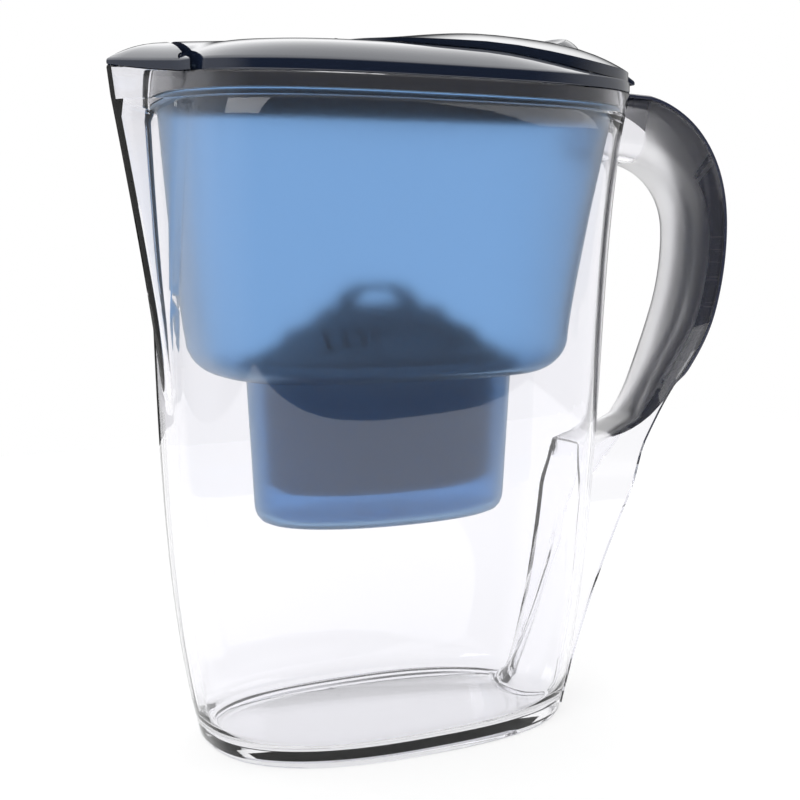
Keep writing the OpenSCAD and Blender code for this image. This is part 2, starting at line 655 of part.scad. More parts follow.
// Grip bump on the dial: a ball, hollowed on one side by a larger ball
bump_r = 12.6;
bump_x = 5;
bump_z = -6.5;
bump_foot = sqrt(pow(bump_r, 2) - pow(-2.2 - bump_z, 2));
function bump_pt(r, a, tip) = let(x = bump_x + r * cos(a), y = r * sin(a),
    d2 = tip ? pow(bump_x + 8, 2) + 16 : pow(x + 8, 2) + pow(y + 4, 2),
    z = bump_z + sqrt(bump_r * bump_r - r * r))
    [x, y, d2 < 370 ? min(z, 19 - sqrt(372.5 - d2)) : z];

// ---- Spout flap -----------------------------------------------------------

module spout_flap() {
    color([0.03, 0.05, 0.11]) {
        difference() {
            union() {
                difference() {
                    intersection() {
                        lid_outer();
                        translate([flap_end - big, -big / 2, 0]) cube(big);
                    }
                    intersection() {
                        lid_inner();
                        translate([flap_end - lid_wall - big, -big / 2, 0]) cube(big);
                    }
                }
                barrel(hinge_x, hinge_z, -flap_pin_y, flap_pin_y, barrel_r);
            }
            for (s = [-1, 1]) {
                y = s * (flap_pin_y + fit + 2);
                barrel(hinge_x, hinge_z, y - 2 - fit, y + 2 + fit, barrel_r + 0.4);
            }
        }
        barrel(hinge_x, hinge_z, -flap_pin_y - 3.5, flap_pin_y + 3.5, pin_r);
    }
}

// Half of the overall length ahead of the middle, so that X = 0 is the centre
centre_x = (grip_reach - spout_reach) / 2;

module placed() {
    translate([-centre_x, 0, 0]) children();
}

placed() jug_body();
placed() handle_grip();
placed() hopper();
placed() lid_frame();
placed() flip_lid();
placed() spout_flap();
placed() reminder_dial();
placed() cartridge_shell();
placed() cartridge_cap();
placed() cartridge_gasket();
placed() upper_screen();
placed() granule_bed();
placed() lower_screen();
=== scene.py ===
"""Water filter pitcher with a flip lid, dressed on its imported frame.

The clear jug, its grip, the frosted hopper with the cartridge and the dark
lid are built as smooth mouldings from the same measures as the CAD solids,
and every piece rides on the body of the solid that it stands for.
"""

from __future__ import annotations

import logging
import math
from dataclasses import dataclass, field
from enum import Enum
from typing import Callable, Iterable, Sequence

import bmesh
import bpy
import numpy as np
from mathutils import Matrix, Vector

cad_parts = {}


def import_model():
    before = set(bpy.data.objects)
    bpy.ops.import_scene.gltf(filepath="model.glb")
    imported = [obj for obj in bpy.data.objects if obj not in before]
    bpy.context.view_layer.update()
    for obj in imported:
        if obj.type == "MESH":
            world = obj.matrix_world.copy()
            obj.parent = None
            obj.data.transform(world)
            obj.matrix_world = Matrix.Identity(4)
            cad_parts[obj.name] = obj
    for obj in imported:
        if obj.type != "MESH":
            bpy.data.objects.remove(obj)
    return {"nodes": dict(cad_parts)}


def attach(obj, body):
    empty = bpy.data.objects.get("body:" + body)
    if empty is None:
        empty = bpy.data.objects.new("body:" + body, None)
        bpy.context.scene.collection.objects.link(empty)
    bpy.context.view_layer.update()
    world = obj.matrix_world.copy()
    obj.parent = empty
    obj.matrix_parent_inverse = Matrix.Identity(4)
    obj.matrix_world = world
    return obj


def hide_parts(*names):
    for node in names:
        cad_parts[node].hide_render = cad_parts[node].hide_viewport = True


LOG = logging.getLogger("pitcher")
MM = 0.001

Ring = np.ndarray
Point = tuple[float, float, float]


# ---------------------------------------------------------------------------
# Small helpers for numbers
# ---------------------------------------------------------------------------


def lerp(a: float, b: float, t: float) -> float:
    """Returns the value a fraction t of the way from a to b."""
    return a + (b - a) * t


def clamp01(t: float) -> float:
    """Returns t held between 0 and 1."""
    return max(0.0, min(1.0, t))


def smooth(t: float) -> float:
    """Returns an S curve from 0 to 1 for t from 0 to 1."""
    c = clamp01(t)
    return c * c * (3 - 2 * c)


def end_x(y: float, length: float, half: float, n: float) -> float:
    """Returns how far a rounded end reaches at one place across it.

    Args:
        y: place across the end, in millimetres.
        length: half length of the outline.
        half: half width of the outline.
        n: squareness of the outline's corners.

    Returns:
        The distance from the outline's middle, in millimetres.
    """
    return length * max(0.0, 1 - min(1.0, abs(y) / half) ** n) ** (1 / n)


# ---------------------------------------------------------------------------
# The pitcher's form, in millimetres from the middle of the foot
# ---------------------------------------------------------------------------


@dataclass(frozen=True)
class JugForm:
    """Measures of the jug, which the hopper and the lid also follow."""

    rim_z: float = 245.5
    foot_front: float = 72.0
    foot_rear: float = 74.0
    foot_half: float = 47.0
    rim_half: float = 51.85
    tuck_front: float = 12.5
    tuck_rear: float = 14.0
    lean: float = 4.0
    rear_flare: float = 9.3
    wall: float = 2.4
    floor_z: float = 5.0
    foot_ring: float = 2.6
    spout_z: float = 132.0
    spout_reach: float = 106.2
    spout_half: float = 20.0
    spout_lift: float = 3.8
    spout_round: float = 1.5
    grip_reach: float = 160.0
    handle_half: float = 14.2
    handle_mid: float = 53.5
    handle_wall: float = 2.2
    web_foot_half: float = 18.0
    pinch: float = 5.0
    scoop_depth: float = 13.4
    scoop_top: float = 85.0
    pocket: float = 1.7
    ledge: float = 2.2
    ledge_drop: float = 7.5
    rim_n: float = 3.0
    foot_n: float = 2.5
    end_steps: int = 18
    side_steps: int = 34

    @property
    def shift(self) -> float:
        """Distance from the foot's middle to the frame's origin along X."""
        return (self.grip_reach - self.spout_reach) / 2

    @property
    def ledge_z(self) -> float:
        """Height of the ledge that carries the hopper."""
        return self.rim_z - self.ledge_drop

    def rise(self, z: float) -> float:
        """Height z as a share of the rim's height."""
        return clamp01(z / self.rim_z)

    def swell(self, z: float) -> float:
        """How far the ends have swelled out at height z, from 0 to 1."""
        return 1 - (1 - self.rise(z)) ** 5

    def front_len(self, z: float) -> float:
        """Half length towards the spout at height z."""
        return self.foot_front + self.tuck_front * self.swell(z) + self.lean * self.rise(z)

    def rear_len(self, z: float) -> float:
        """Half length towards the handle at height z."""
        return (self.foot_rear + self.tuck_rear * self.swell(z) + self.lean * self.rise(z)
                + self.rear_flare * self.rise(z) ** 6)

    def half_w(self, z: float) -> float:
        """Half width at height z."""
        return lerp(self.foot_half, self.rim_half, 1 - (1 - self.rise(z)) ** 2)

    def corner_n(self, z: float) -> float:
        """Squareness of the outline at height z."""
        return lerp(self.foot_n, self.rim_n, self.rise(z))

    def web_half(self, z: float) -> float:
        """Half distance between the two webs at height z."""
        plain = lerp(self.web_foot_half, self.handle_half - self.handle_wall, clamp01(z / 138.8))
        return plain - self.pinch * smooth((z - 84) / 22) * smooth((158 - z) / 42)

    def scoop(self, z: float) -> float:
        """Depth of the scoop in the rear wall at height z."""
        return self.scoop_depth * clamp01(1 - z / self.scoop_top) ** 2.1

    def wall_x(self, z: float, y: float, inset: float) -> float:
        """Place of the rear wall along X.

        Args:
            z: height.
            y: place across the wall.
            inset: distance inwards from the outside face.

        Returns:
            The wall's X, in millimetres from the foot's middle.
        """
        r, c, d = self.rear_len(z) - inset, self.web_half(z) + inset, self.scoop(z)
        plain = end_x(y, r, self.half_w(z) - inset, self.corner_n(z))
        return min(plain, r - d + c - math.sqrt(max(0.0, c * c - y * y)) if d > 0 else r)

    def spout_u(self, z: float) -> float:
        """How far up the spout height z is, from 0 to 1."""
        return clamp01((z - self.spout_z) / (self.rim_z - self.spout_z))

    def ridge(self, z: float) -> float:
        """Reach of the spout's ridge at height z."""
        return lerp(self.front_len(self.spout_z) + 1.5, self.spout_reach, self.spout_u(z) ** 1.15)

    def lift(self, x: float) -> float:
        """Rise of the rim above its plane at place x."""
        return self.spout_lift * clamp01((-x - 70) / (self.spout_reach - 70)) ** 2

    def steps(self, w: float) -> list[float]:
        """Places across an end of half width w."""
        return [w * (2 * k / self.end_steps - 1) for k in range(self.end_steps + 1)]

    def side(self, f: float, r: float, half: float, n: float, a0: float, a1: float, s: int) -> list[tuple[float, float]]:
        """Points along one side, between the ends.

        Args:
            f: half length towards the spout.
            r: half length towards the handle.
            half: half width.
            n: squareness of the corners.
            a0: angle at which the rear end stops.
            a1: angle at which the front end starts.
            s: 1 for the far side, -1 for the near side.

        Returns:
            The points in order, counter-clockwise.
        """
        out = []
        for i in range(1, self.side_steps):
            t = i / self.side_steps
            a = lerp(a0, a1, t) if s > 0 else lerp(a1, a0, t)
            x = (r if a < math.pi / 2 else -f) * abs(math.cos(a)) ** (2 / n)
            out.append((x, s * half * math.sin(a) ** (2 / n)))
        return out

    def join(self, rear: list[tuple[float, float]], front: list[tuple[float, float]], f: float, r: float, half: float, n: float) -> Ring:
        """Closes two ends with their sides into one outline.

        Args:
            rear: points of the rear end.
            front: points of the front end.
            f: half length towards the spout.
            r: half length towards the handle.
            half: half width.
            n: squareness of the corners.

        Returns:
            The outline as an array of x and y.
        """
        a0 = math.asin(min(1.0, abs(rear[-1][1]) / half) ** (n / 2))
        a1 = math.pi - math.asin(min(1.0, abs(front[0][1]) / half) ** (n / 2))
        return np.array(rear + self.side(f, r, half, n, a0, a1, 1) + front
                        + self.side(f, r, half, n, a0, a1, -1))

    def outline(self, z: float, inset: float = 0.0) -> Ring:
        """Outline of the jug with its spout and scoop.

        Args:
            z: height.
            inset: distance inwards from the outside face.

        Returns:
            The outline as an array of x and y.
        """
        f, r = self.front_len(z) - inset, self.rear_len(z) - inset
        half, n, d = self.half_w(z) - inset, self.corner_n(z), self.scoop(z)
        c = self.web_half(z) + inset
        w = max(6.0, math.sqrt(max(0.0, c * c - (c - d) ** 2)))
        u = self.spout_u(z)
        sw = max(6.0, self.spout_half * u ** 0.9 - 0.4 * inset)
        tip, foot, e = self.ridge(z) - 1.35 * inset, end_x(sw, f, half, n), self.spout_round
        rear = [(self.wall_x(z, y, inset), y) for y in self.steps(w)]
        front = []
        for y in self.steps(sw):
            v = (math.sqrt(y * y + e * e) - e) / (math.sqrt(sw * sw + e * e) - e)
            front.append((-max(end_x(y, f, half, n), lerp(tip, foot, v) if u > 0 else 0.0), -y))
        return self.join(rear, front, f, r, half, n)

    def egg(self, f: float, r: float, half: float, n: float, w: float = 12.0) -> Ring:
        """Plain oval with different half lengths to the front and the rear.

        Args:
            f: half length towards the spout.
            r: half length towards the handle.
            half: half width.
            n: squareness of the corners.
            w: half width of the stretch that is drawn as an end.

        Returns:
            The oval as an array of x and y.
        """
        rear = [(end_x(y, r, half, n), y) for y in self.steps(w)]
        front = [(-end_x(y, f, half, n), -y) for y in self.steps(w)]
        return self.join(rear, front, f, r, half, n)

    def level(self, z: float, inset: float = 0.0) -> Ring:
        """Ring of the jug's wall at height z."""
        return at(self.outline(z, inset), z)

    def rim(self, inset: float, up: float) -> Ring:
        """Ring that follows the rim's lift at the spout."""
        flat = self.outline(self.rim_z, inset)
        return np.array([(x, y, self.rim_z + up + self.lift(x)) for x, y in flat])


def at(flat: Ring, z: float) -> Ring:
    """Returns an outline as a ring at height z."""
    return np.column_stack([flat, np.full(len(flat), z)])


FORM = JugForm()


# ---------------------------------------------------------------------------
# Modelling by operators
# ---------------------------------------------------------------------------


class Bench:
    """Modelling moves that every piece is made with."""

    @staticmethod
    def clear() -> None:
        """Leaves edit mode and deselects everything."""
        if bpy.context.object and bpy.context.object.mode != "OBJECT":
            bpy.ops.object.mode_set(mode="OBJECT")
        bpy.ops.object.select_all(action="DESELECT")

    @staticmethod
    def pick(obj: bpy.types.Object) -> None:
        """Makes obj the only selected and active object."""
        Bench.clear()
        obj.select_set(True)
        bpy.context.view_layer.objects.active = obj

    @staticmethod
    def loft(name: str, rings: Sequence[Ring], shift: float = FORM.shift) -> bpy.types.Object:
        """Extrudes a circle from ring to ring and closes both ends.

        Args:
            name: name of the new object.
            rings: rings of equally many points, in millimetres.
            shift: distance from the rings' origin to the frame's, along X.

        Returns:
            The closed shell.
        """
        Bench.clear()
        bpy.ops.mesh.primitive_circle_add(vertices=len(rings[0]), radius=0.05)
        obj = bpy.context.object
        obj.name = obj.data.name = name
        bpy.ops.object.mode_set(mode="EDIT")
        bpy.ops.mesh.select_all(action="SELECT")
        for _ in rings[1:]:
            bpy.ops.mesh.extrude_edges_move(TRANSFORM_OT_translate={"value": (0, 0, 0.01)})
        bm = bmesh.from_edit_mesh(obj.data)
        bm.verts.ensure_lookup_table()
        row, seen = list(bm.verts)[:len(rings[0])], set()
        for ring in rings:
            seen.update(row)
            for vert, (x, y, z) in zip(row, ring):
                vert.co = ((x - shift) * MM, y * MM, z * MM)
            if ring is not rings[-1]:
                row = [next(o for o in (e.other_vert(v) for e in v.link_edges) if o not in seen) for v in row]
        bmesh.update_edit_mesh(obj.data)
        bpy.ops.mesh.select_mode(type="EDGE")
        bpy.ops.mesh.select_all(action="DESELECT")
        bpy.ops.mesh.select_non_manifold()
        bpy.ops.mesh.edge_face_add()
        bpy.ops.mesh.select_all(action="SELECT")
        bpy.ops.mesh.normals_make_consistent(inside=False)
        bpy.ops.mesh.select_mode(type="VERT")
        bpy.ops.object.mode_set(mode="OBJECT")
        return obj

    @staticmethod
    def cylinder(name: str, start: Point, end: Point, radius: float, sides: int = 48) -> bpy.types.Object:
        """Adds a cylinder between two points.

        Args:
            name: name of the new object.
            start: middle of one end, in millimetres from the foot's middle.
            end: middle of the other end.
            radius: radius in millimetres.
            sides: facets round it.

        Returns:
            The cylinder, with its place in its mesh.
        """
        a, b = Vector(start), Vector(end)
        Bench.clear()
        bpy.ops.mesh.primitive_cylinder_add(vertices=sides, radius=radius * MM, depth=(b - a).length * MM)
        obj = bpy.context.object
        obj.name = obj.data.name = name
        turn = (b - a).to_track_quat("Z", "Y").to_matrix().to_4x4()
        mid = (a + b) / 2
        obj.data.transform(Matrix.Translation(((mid.x - FORM.shift) * MM, mid.y * MM, mid.z * MM)) @ turn)
        return obj

    @staticmethod
    def block(name: str, low: Point, high: Point) -> bpy.types.Object:
        """Adds a box between two corners, in millimetres from the foot's middle."""
        Bench.clear()
        bpy.ops.mesh.primitive_cube_add(size=1)
        obj = bpy.context.object
        obj.name = obj.data.name = name
        size = [(h - l) * MM for l, h in zip(low, high)]
        mid = [(h + l) / 2 * MM for l, h in zip(low, high)]
        mid[0] -= FORM.shift * MM
        obj.data.transform(Matrix.Translation(mid) @ Matrix.Diagonal((*size, 1)))
        return obj

    @staticmethod
    def prism(name: str, profile: Sequence[tuple[float, float]], half: float) -> bpy.types.Object:
        """Extrudes an outline in the XZ plane across the pitcher.

        Args:
            name: name of the new object.
            profile: points of x and z, in millimetres.
            half: half width across.

        Returns:
            The closed prism.
        """
        return Bench.loft(name, [np.array([(x, s * half, z) for x, z in profile]) for s in (-1, 1)])

    @staticmethod
    def combine(obj: bpy.types.Object, other: bpy.types.Object, how: str) -> None:
        """Applies a boolean with other to obj and removes other.

        Args:
            obj: the piece that is kept.
            other: the piece that is joined to it or cut from it.
            how: UNION, DIFFERENCE or INTERSECT.
        """
        Bench.pick(obj)
        mod = obj.modifiers.new("combine", "BOOLEAN")
        mod.operation, mod.object, mod.solver = how, other, "EXACT"
        mod.material_mode = "TRANSFER"
        bpy.ops.object.modifier_apply(modifier=mod.name)
        bpy.data.objects.remove(other, do_unlink=True)

    @staticmethod
    def join(obj: bpy.types.Object, others: Iterable[bpy.types.Object]) -> None:
        """Joins other objects into obj."""
        Bench.pick(obj)
        for other in others:
            other.select_set(True)
        bpy.ops.object.join()

    @staticmethod
    def cut(obj: bpy.types.Object, x: float, keep_rear: bool) -> None:
        """Cuts obj at a plane across it and closes the cut.

        Args:
            obj: the piece to cut.
            x: place of the plane, in millimetres from the foot's middle.
            keep_rear: keeps the handle's side, otherwise the spout's side.
        """
        Bench.pick(obj)
        bpy.ops.object.mode_set(mode="EDIT")
        bpy.ops.mesh.select_all(action="SELECT")
        bpy.ops.mesh.bisect(plane_co=((x - FORM.shift) * MM, 0, 0), plane_no=(1, 0, 0), use_fill=True,
                            clear_inner=keep_rear, clear_outer=not keep_rear)
        bpy.ops.object.mode_set(mode="OBJECT")

    @staticmethod
    def copy_node(name: str, node: bpy.types.Object) -> bpy.types.Object:
        """Copies a CAD node as a merged mesh of its own.

        Args:
            name: name of the copy.
            node: the CAD node.

        Returns:
            The copy, free of the node's parent.
        """
        mesh = node.data.copy()
        mesh.name = name
        mesh.materials.clear()
        obj = bpy.data.objects.new(name, mesh)
        bpy.context.scene.collection.objects.link(obj)
        Bench.pick(obj)
        bpy.ops.object.mode_set(mode="EDIT")
        bpy.ops.mesh.select_all(action="SELECT")
        bpy.ops.mesh.remove_doubles(threshold=2e-6)
        bpy.ops.mesh.tris_convert_to_quads(face_threshold=math.radians(4), shape_threshold=math.radians(60))
        bpy.ops.object.mode_set(mode="OBJECT")
        return obj

    @staticmethod
    def soften(obj: bpy.types.Object, angle: float = 32.0, bevel: float = 0.0) -> None:
        """Rounds sharp edges and shades the rest smooth.

        Args:
            obj: the piece to finish.
            angle: edges sharper than this many degrees stay edges.
            bevel: width of the rounded edge in millimetres, or 0 for none.
        """
        Bench.pick(obj)
        if bevel > 0:
            mod = obj.modifiers.new("edges", "BEVEL")
            mod.width, mod.segments, mod.limit_method = bevel * MM, 3, "ANGLE"
            mod.angle_limit, mod.use_clamp_overlap = math.radians(angle + 8), True
            bpy.ops.object.modifier_apply(modifier=mod.name)
        bpy.ops.object.shade_smooth_by_angle(angle=math.radians(angle))


# ---------------------------------------------------------------------------
# Finishes
# ---------------------------------------------------------------------------


class Effects:
    """Shader node groups that more than one finish uses."""

    def __init__(self) -> None:
        """Builds each group once."""
        self.grain = self._grain()
        self.wear = self._wear()

    @staticmethod
    def _start(name: str, inputs: Sequence[tuple[str, str, float]], outputs: Sequence[tuple[str, str]]) -> bpy.types.NodeTree:
        """Makes an empty group with named sockets.

        Args:
            name: name of the group.
            inputs: name, socket type and default of each input.
            outputs: name and socket type of each output.

        Returns:
            The new group.
        """
        group = bpy.data.node_groups.new(name, "ShaderNodeTree")
        for label, kind, value in inputs:
            sock = group.interface.new_socket(label, in_out="INPUT", socket_type=kind)
            if kind == "NodeSocketFloat":
                sock.default_value = value
        for label, kind in outputs:
            group.interface.new_socket(label, in_out="OUTPUT", socket_type=kind)
        return group

    def _grain(self) -> bpy.types.NodeTree:
        """Fine moulded texture: a height and a mask, from two sizes of noise."""
        group = self._start("moulded_grain", [("Vector", "NodeSocketVector", 0), ("Fine", "NodeSocketFloat", 900),
                                              ("Broad", "NodeSocketFloat", 60), ("Mix", "NodeSocketFloat", 0.4)],
                            [("Height", "NodeSocketFloat"), ("Mask", "NodeSocketFloat")])
        nodes, links = group.nodes, group.links
        gin, gout = nodes.new("NodeGroupInput"), nodes.new("NodeGroupOutput")
        fine, broad = nodes.new("ShaderNodeTexNoise"), nodes.new("ShaderNodeTexNoise")
        fine.inputs["Detail"].default_value = 3
        broad.inputs["Detail"].default_value = 2
        mix = nodes.new("ShaderNodeMix")
        mix.data_type = "FLOAT"
        links.new(gin.outputs["Vector"], fine.inputs["Vector"])
        links.new(gin.outputs["Vector"], broad.inputs["Vector"])
        links.new(gin.outputs["Fine"], fine.inputs["Scale"])
        links.new(gin.outputs["Broad"], broad.inputs["Scale"])
        links.new(gin.outputs["Mix"], mix.inputs["Factor"])
        links.new(fine.outputs["Fac"], mix.inputs["A"])
        links.new(broad.outputs["Fac"], mix.inputs["B"])
        links.new(mix.outputs["Result"], gout.inputs["Height"])
        links.new(broad.outputs["Fac"], gout.inputs["Mask"])
        return group

    def _wear(self) -> bpy.types.NodeTree:
        """Handling marks: a roughness that rises in soft smudges and fine scratches."""
        group = self._start("handling_marks", [("Vector", "NodeSocketVector", 0), ("Base", "NodeSocketFloat", 0.1),
                                               ("Amount", "NodeSocketFloat", 0.05)],
                            [("Roughness", "NodeSocketFloat"), ("Marks", "NodeSocketFloat")])
        nodes, links = group.nodes, group.links
        gin, gout = nodes.new("NodeGroupInput"), nodes.new("NodeGroupOutput")
        smudge, scratch = nodes.new("ShaderNodeTexNoise"), nodes.new("ShaderNodeTexNoise")
        smudge.inputs["Scale"].default_value = 22
        smudge.inputs["Detail"].default_value = 4
        stretch = nodes.new("ShaderNodeMapping")
        stretch.inputs["Scale"].default_value = (30, 400, 900)
        stretch.inputs["Rotation"].default_value = (0.3, 0.5, 0.2)
        scratch.inputs["Scale"].default_value = 1
        ramp = nodes.new("ShaderNodeMapRange")
        ramp.inputs["From Min"].default_value = 0.62
        ramp.inputs["From Max"].default_value = 0.75
        total = nodes.new("ShaderNodeMath")
        total.operation = "ADD"
        apply = nodes.new("ShaderNodeMath")
        apply.operation = "MULTIPLY_ADD"
        links.new(gin.outputs["Vector"], smudge.inputs["Vector"])
        links.new(gin.outputs["Vector"], stretch.inputs["Vector"])
        links.new(stretch.outputs["Vector"], scratch.inputs["Vector"])
        links.new(scratch.outputs["Fac"], ramp.inputs["Value"])
        links.new(smudge.outputs["Fac"], total.inputs[0])
        links.new(ramp.outputs["Result"], total.inputs[1])
        links.new(total.outputs["Value"], apply.inputs[0])
        links.new(gin.outputs["Amount"], apply.inputs[1])
        links.new(gin.outputs["Base"], apply.inputs[2])
        links.new(apply.outputs["Value"], gout.inputs["Roughness"])
        links.new(total.outputs["Value"], gout.inputs["Marks"])
        return group


@dataclass(frozen=True)
class Finish:
    """One moulded finish."""

    name: str
    tint: tuple[float, float, float]
    rough: float
    marks: float = 0.03
    bump: float = 0.05
    fine: float = 900.0
    broad: float = 60.0
    mix: float = 0.4
    clear: float = 0.0
    ior: float = 1.49
    coat: float = 0.0
    vary: float = 0.0
    # Painted shade: a darker tint that the base colour fades to towards the bottom, and the heights in metres where the
    # fade starts and ends.
    painted_shade: tuple[float, float, float] | None = None
    painted_shade_from: float = 0.148
    painted_shade_to: float = 0.130

    def build(self, effects: Effects) -> bpy.types.Material:
        """Makes the material.

        Args:
            effects: the shared node groups.

        Returns:
            The material, procedural on Object coordinates.
        """
        mat = bpy.data.materials.new(self.name)
        mat.use_nodes = True
        nodes, links = mat.node_tree.nodes, mat.node_tree.links
        shader = nodes["Principled BSDF"]
        shader.inputs["Base Color"].default_value = (*self.tint, 1)
        shader.inputs["IOR"].default_value = self.ior
        shader.inputs["Transmission Weight"].default_value = self.clear
        shader.inputs["Coat Weight"].default_value = self.coat
        shader.inputs["Coat Roughness"].default_value = 0.04
        coords = nodes.new("ShaderNodeTexCoord")
        grain, wear = nodes.new("ShaderNodeGroup"), nodes.new("ShaderNodeGroup")
        grain.node_tree, wear.node_tree = effects.grain, effects.wear
        for label, value in (("Fine", self.fine), ("Broad", self.broad), ("Mix", self.mix)):
            grain.inputs[label].default_value = value
        wear.inputs["Base"].default_value = self.rough
        wear.inputs["Amount"].default_value = self.marks
        links.new(coords.outputs["Object"], grain.inputs["Vector"])
        links.new(coords.outputs["Object"], wear.inputs["Vector"])
        links.new(wear.outputs["Roughness"], shader.inputs["Roughness"])
        bump = nodes.new("ShaderNodeBump")
        bump.inputs["Strength"].default_value = self.bump
        bump.inputs["Distance"].default_value = 0.0004
        links.new(grain.outputs["Height"], bump.inputs["Height"])
        links.new(bump.outputs["Normal"], shader.inputs["Normal"])
        if self.vary > 0:
            tone = nodes.new("ShaderNodeMix")
            tone.data_type = "RGBA"
            tone.inputs["A"].default_value = (*[c * (1 - self.vary) for c in self.tint], 1)
            tone.inputs["B"].default_value = (*[min(1, c * (1 + self.vary)) for c in self.tint], 1)
            links.new(grain.outputs["Mask"], tone.inputs["Factor"])
            links.new(tone.outputs["Result"], shader.inputs["Base Color"])
        # Painted shade: the base colour fades to a darker tint towards the bottom of the piece.
        if self.painted_shade:
            split, fall, tone = (nodes.new("ShaderNode" + kind) for kind in ("SeparateXYZ", "MapRange", "Mix"))
            tone.data_type = "RGBA"
            fall.inputs["From Min"].default_value = self.painted_shade_from
            fall.inputs["From Max"].default_value = self.painted_shade_to
            tone.inputs["A"].default_value = (*self.tint, 1)
            tone.inputs["B"].default_value = (*self.painted_shade, 1)
            links.new(coords.outputs["Object"], split.inputs["Vector"])
            links.new(split.outputs["Z"], fall.inputs["Value"])
            links.new(fall.outputs["Result"], tone.inputs["Factor"])
            links.new(tone.outputs["Result"], shader.inputs["Base Color"])
        return mat


@dataclass(frozen=True)
class MeshFinish:
    """Woven screen, with its threads as height and tone."""

    name: str
    tint: tuple[float, float, float]
    pitch: float = 1400.0

    def build(self, effects: Effects) -> bpy.types.Material:
        """Makes the material.

        Args:
            effects: the shared node groups.

        Returns:
            The woven material.
        """
        mat = Finish(self.name, self.tint, 0.5, bump=0.1).build(effects)
        nodes, links = mat.node_tree.nodes, mat.node_tree.links
        shader, bump, coords = nodes["Principled BSDF"], nodes["Bump"], nodes["Texture Coordinate"]
        total = nodes.new("ShaderNodeMath")
        total.operation = "MAXIMUM"
        for k, axis in enumerate(("X", "Y")):
            wave = nodes.new("ShaderNodeTexWave")
            wave.bands_direction = axis
            wave.inputs["Scale"].default_value = self.pitch / 4
            links.new(coords.outputs["Object"], wave.inputs["Vector"])
            links.new(wave.outputs["Fac"], total.inputs[k])
        tone = nodes.new("ShaderNodeMix")
        tone.data_type = "RGBA"
        tone.inputs["A"].default_value = (*[c * 0.35 for c in self.tint], 1)
        tone.inputs["B"].default_value = (*self.tint, 1)
        links.new(total.outputs["Value"], tone.inputs["Factor"])
        links.new(tone.outputs["Result"], shader.inputs["Base Color"])
        links.new(total.outputs["Value"], bump.inputs["Height"])
        bump.inputs["Strength"].default_value = 0.6
        return mat


@dataclass(frozen=True)
class GranuleFinish:
    """Loose filter granules, dark carbon with pale resin beads between them."""

    name: str
    dark: tuple[float, float, float]
    pale: tuple[float, float, float]
    size: float = 900.0

    def build(self, effects: Effects) -> bpy.types.Material:
        """Makes the material.

        Args:
            effects: the shared node groups.

        Returns:
            The granular material.
        """
        mat = Finish(self.name, self.dark, 0.6).build(effects)
        nodes, links = mat.node_tree.nodes, mat.node_tree.links
        shader, bump, coords = nodes["Principled BSDF"], nodes["Bump"], nodes["Texture Coordinate"]
        cells = nodes.new("ShaderNodeTexVoronoi")
        cells.inputs["Scale"].default_value = self.size
        pick = nodes.new("ShaderNodeSeparateColor")
        step = nodes.new("ShaderNodeMath")
        step.operation = "GREATER_THAN"
        step.inputs[1].default_value = 0.62
        tone = nodes.new("ShaderNodeMix")
        tone.data_type = "RGBA"
        tone.inputs["A"].default_value = (*self.dark, 1)
        tone.inputs["B"].default_value = (*self.pale, 1)
        links.new(coords.outputs["Object"], cells.inputs["Vector"])
        links.new(cells.outputs["Color"], pick.inputs["Color"])
        links.new(pick.outputs["Red"], step.inputs[0])
        links.new(step.outputs["Value"], tone.inputs["Factor"])
        links.new(tone.outputs["Result"], shader.inputs["Base Color"])
        links.new(cells.outputs["Distance"], bump.inputs["Height"])
        bump.inputs["Strength"].default_value = 0.9
        return mat


class Look(Enum):
    """The finishes of the pitcher."""

    CLEAR = Finish("clear_wall", (0.968, 0.966, 0.99), 0.012, marks=0.015, bump=0.02, fine=40, broad=14, clear=1, ior=1.5)
    FROSTED = Finish("frosted_handle", (0.98, 0.978, 0.99), 0.3, marks=0.05, bump=0.04, fine=1400, clear=1, ior=1.5)
    # Hopper blue with painted shade, darker towards its floor and the cartridge well.
    HOPPER = Finish("hopper_blue_painted_shade", (0.50, 0.71, 0.94), 0.3, marks=0.05, bump=0.1, fine=1200, clear=1, ior=1.3,
                    painted_shade=(0.28, 0.49, 0.75))
    LID = Finish("lid_navy", (0.008, 0.013, 0.028), 0.07, marks=0.04, bump=0.03, fine=500, broad=30, coat=0.6)
    GRIP = Finish("grip_navy", (0.018, 0.022, 0.045), 0.24, marks=0.06, bump=0.18, fine=1500)
    DIAL = Finish("dial_navy", (0.007, 0.010, 0.02), 0.1, marks=0.04, bump=0.04, fine=600, coat=0.4)
    # The cartridge's white plastic is darkened to grey here as painted shade.
    CARTRIDGE = Finish("cartridge_white_painted_shade", (0.36, 0.39, 0.44), 0.42, marks=0.08, bump=0.15, fine=1300, vary=0.03)
    SEAL = Finish("seal_grey", (0.45, 0.48, 0.52), 0.6, marks=0.1, bump=0.2, fine=1500, vary=0.05)
    SCREEN = MeshFinish("screen_weave", (0.7, 0.7, 0.7))
    GRANULES = GranuleFinish("filter_granules", (0.02, 0.02, 0.022), (0.55, 0.36, 0.16))


class Palette:
    """Builds each finish once and puts it on pieces."""

    def __init__(self) -> None:
        """Makes the shared groups and an empty shelf of materials."""
        self.effects = Effects()
        self.made: dict[Look, bpy.types.Material] = {}

    def get(self, look: Look) -> bpy.types.Material:
        """Returns the material of a look, made on first use."""
        if look not in self.made:
            self.made[look] = look.value.build(self.effects)
        return self.made[look]

    def dress(self, obj: bpy.types.Object, *looks: Look) -> None:
        """Gives obj one material slot for each look."""
        obj.data.materials.clear()
        for look in looks:
            obj.data.materials.append(self.get(look))


# ---------------------------------------------------------------------------
# Handle
# ---------------------------------------------------------------------------


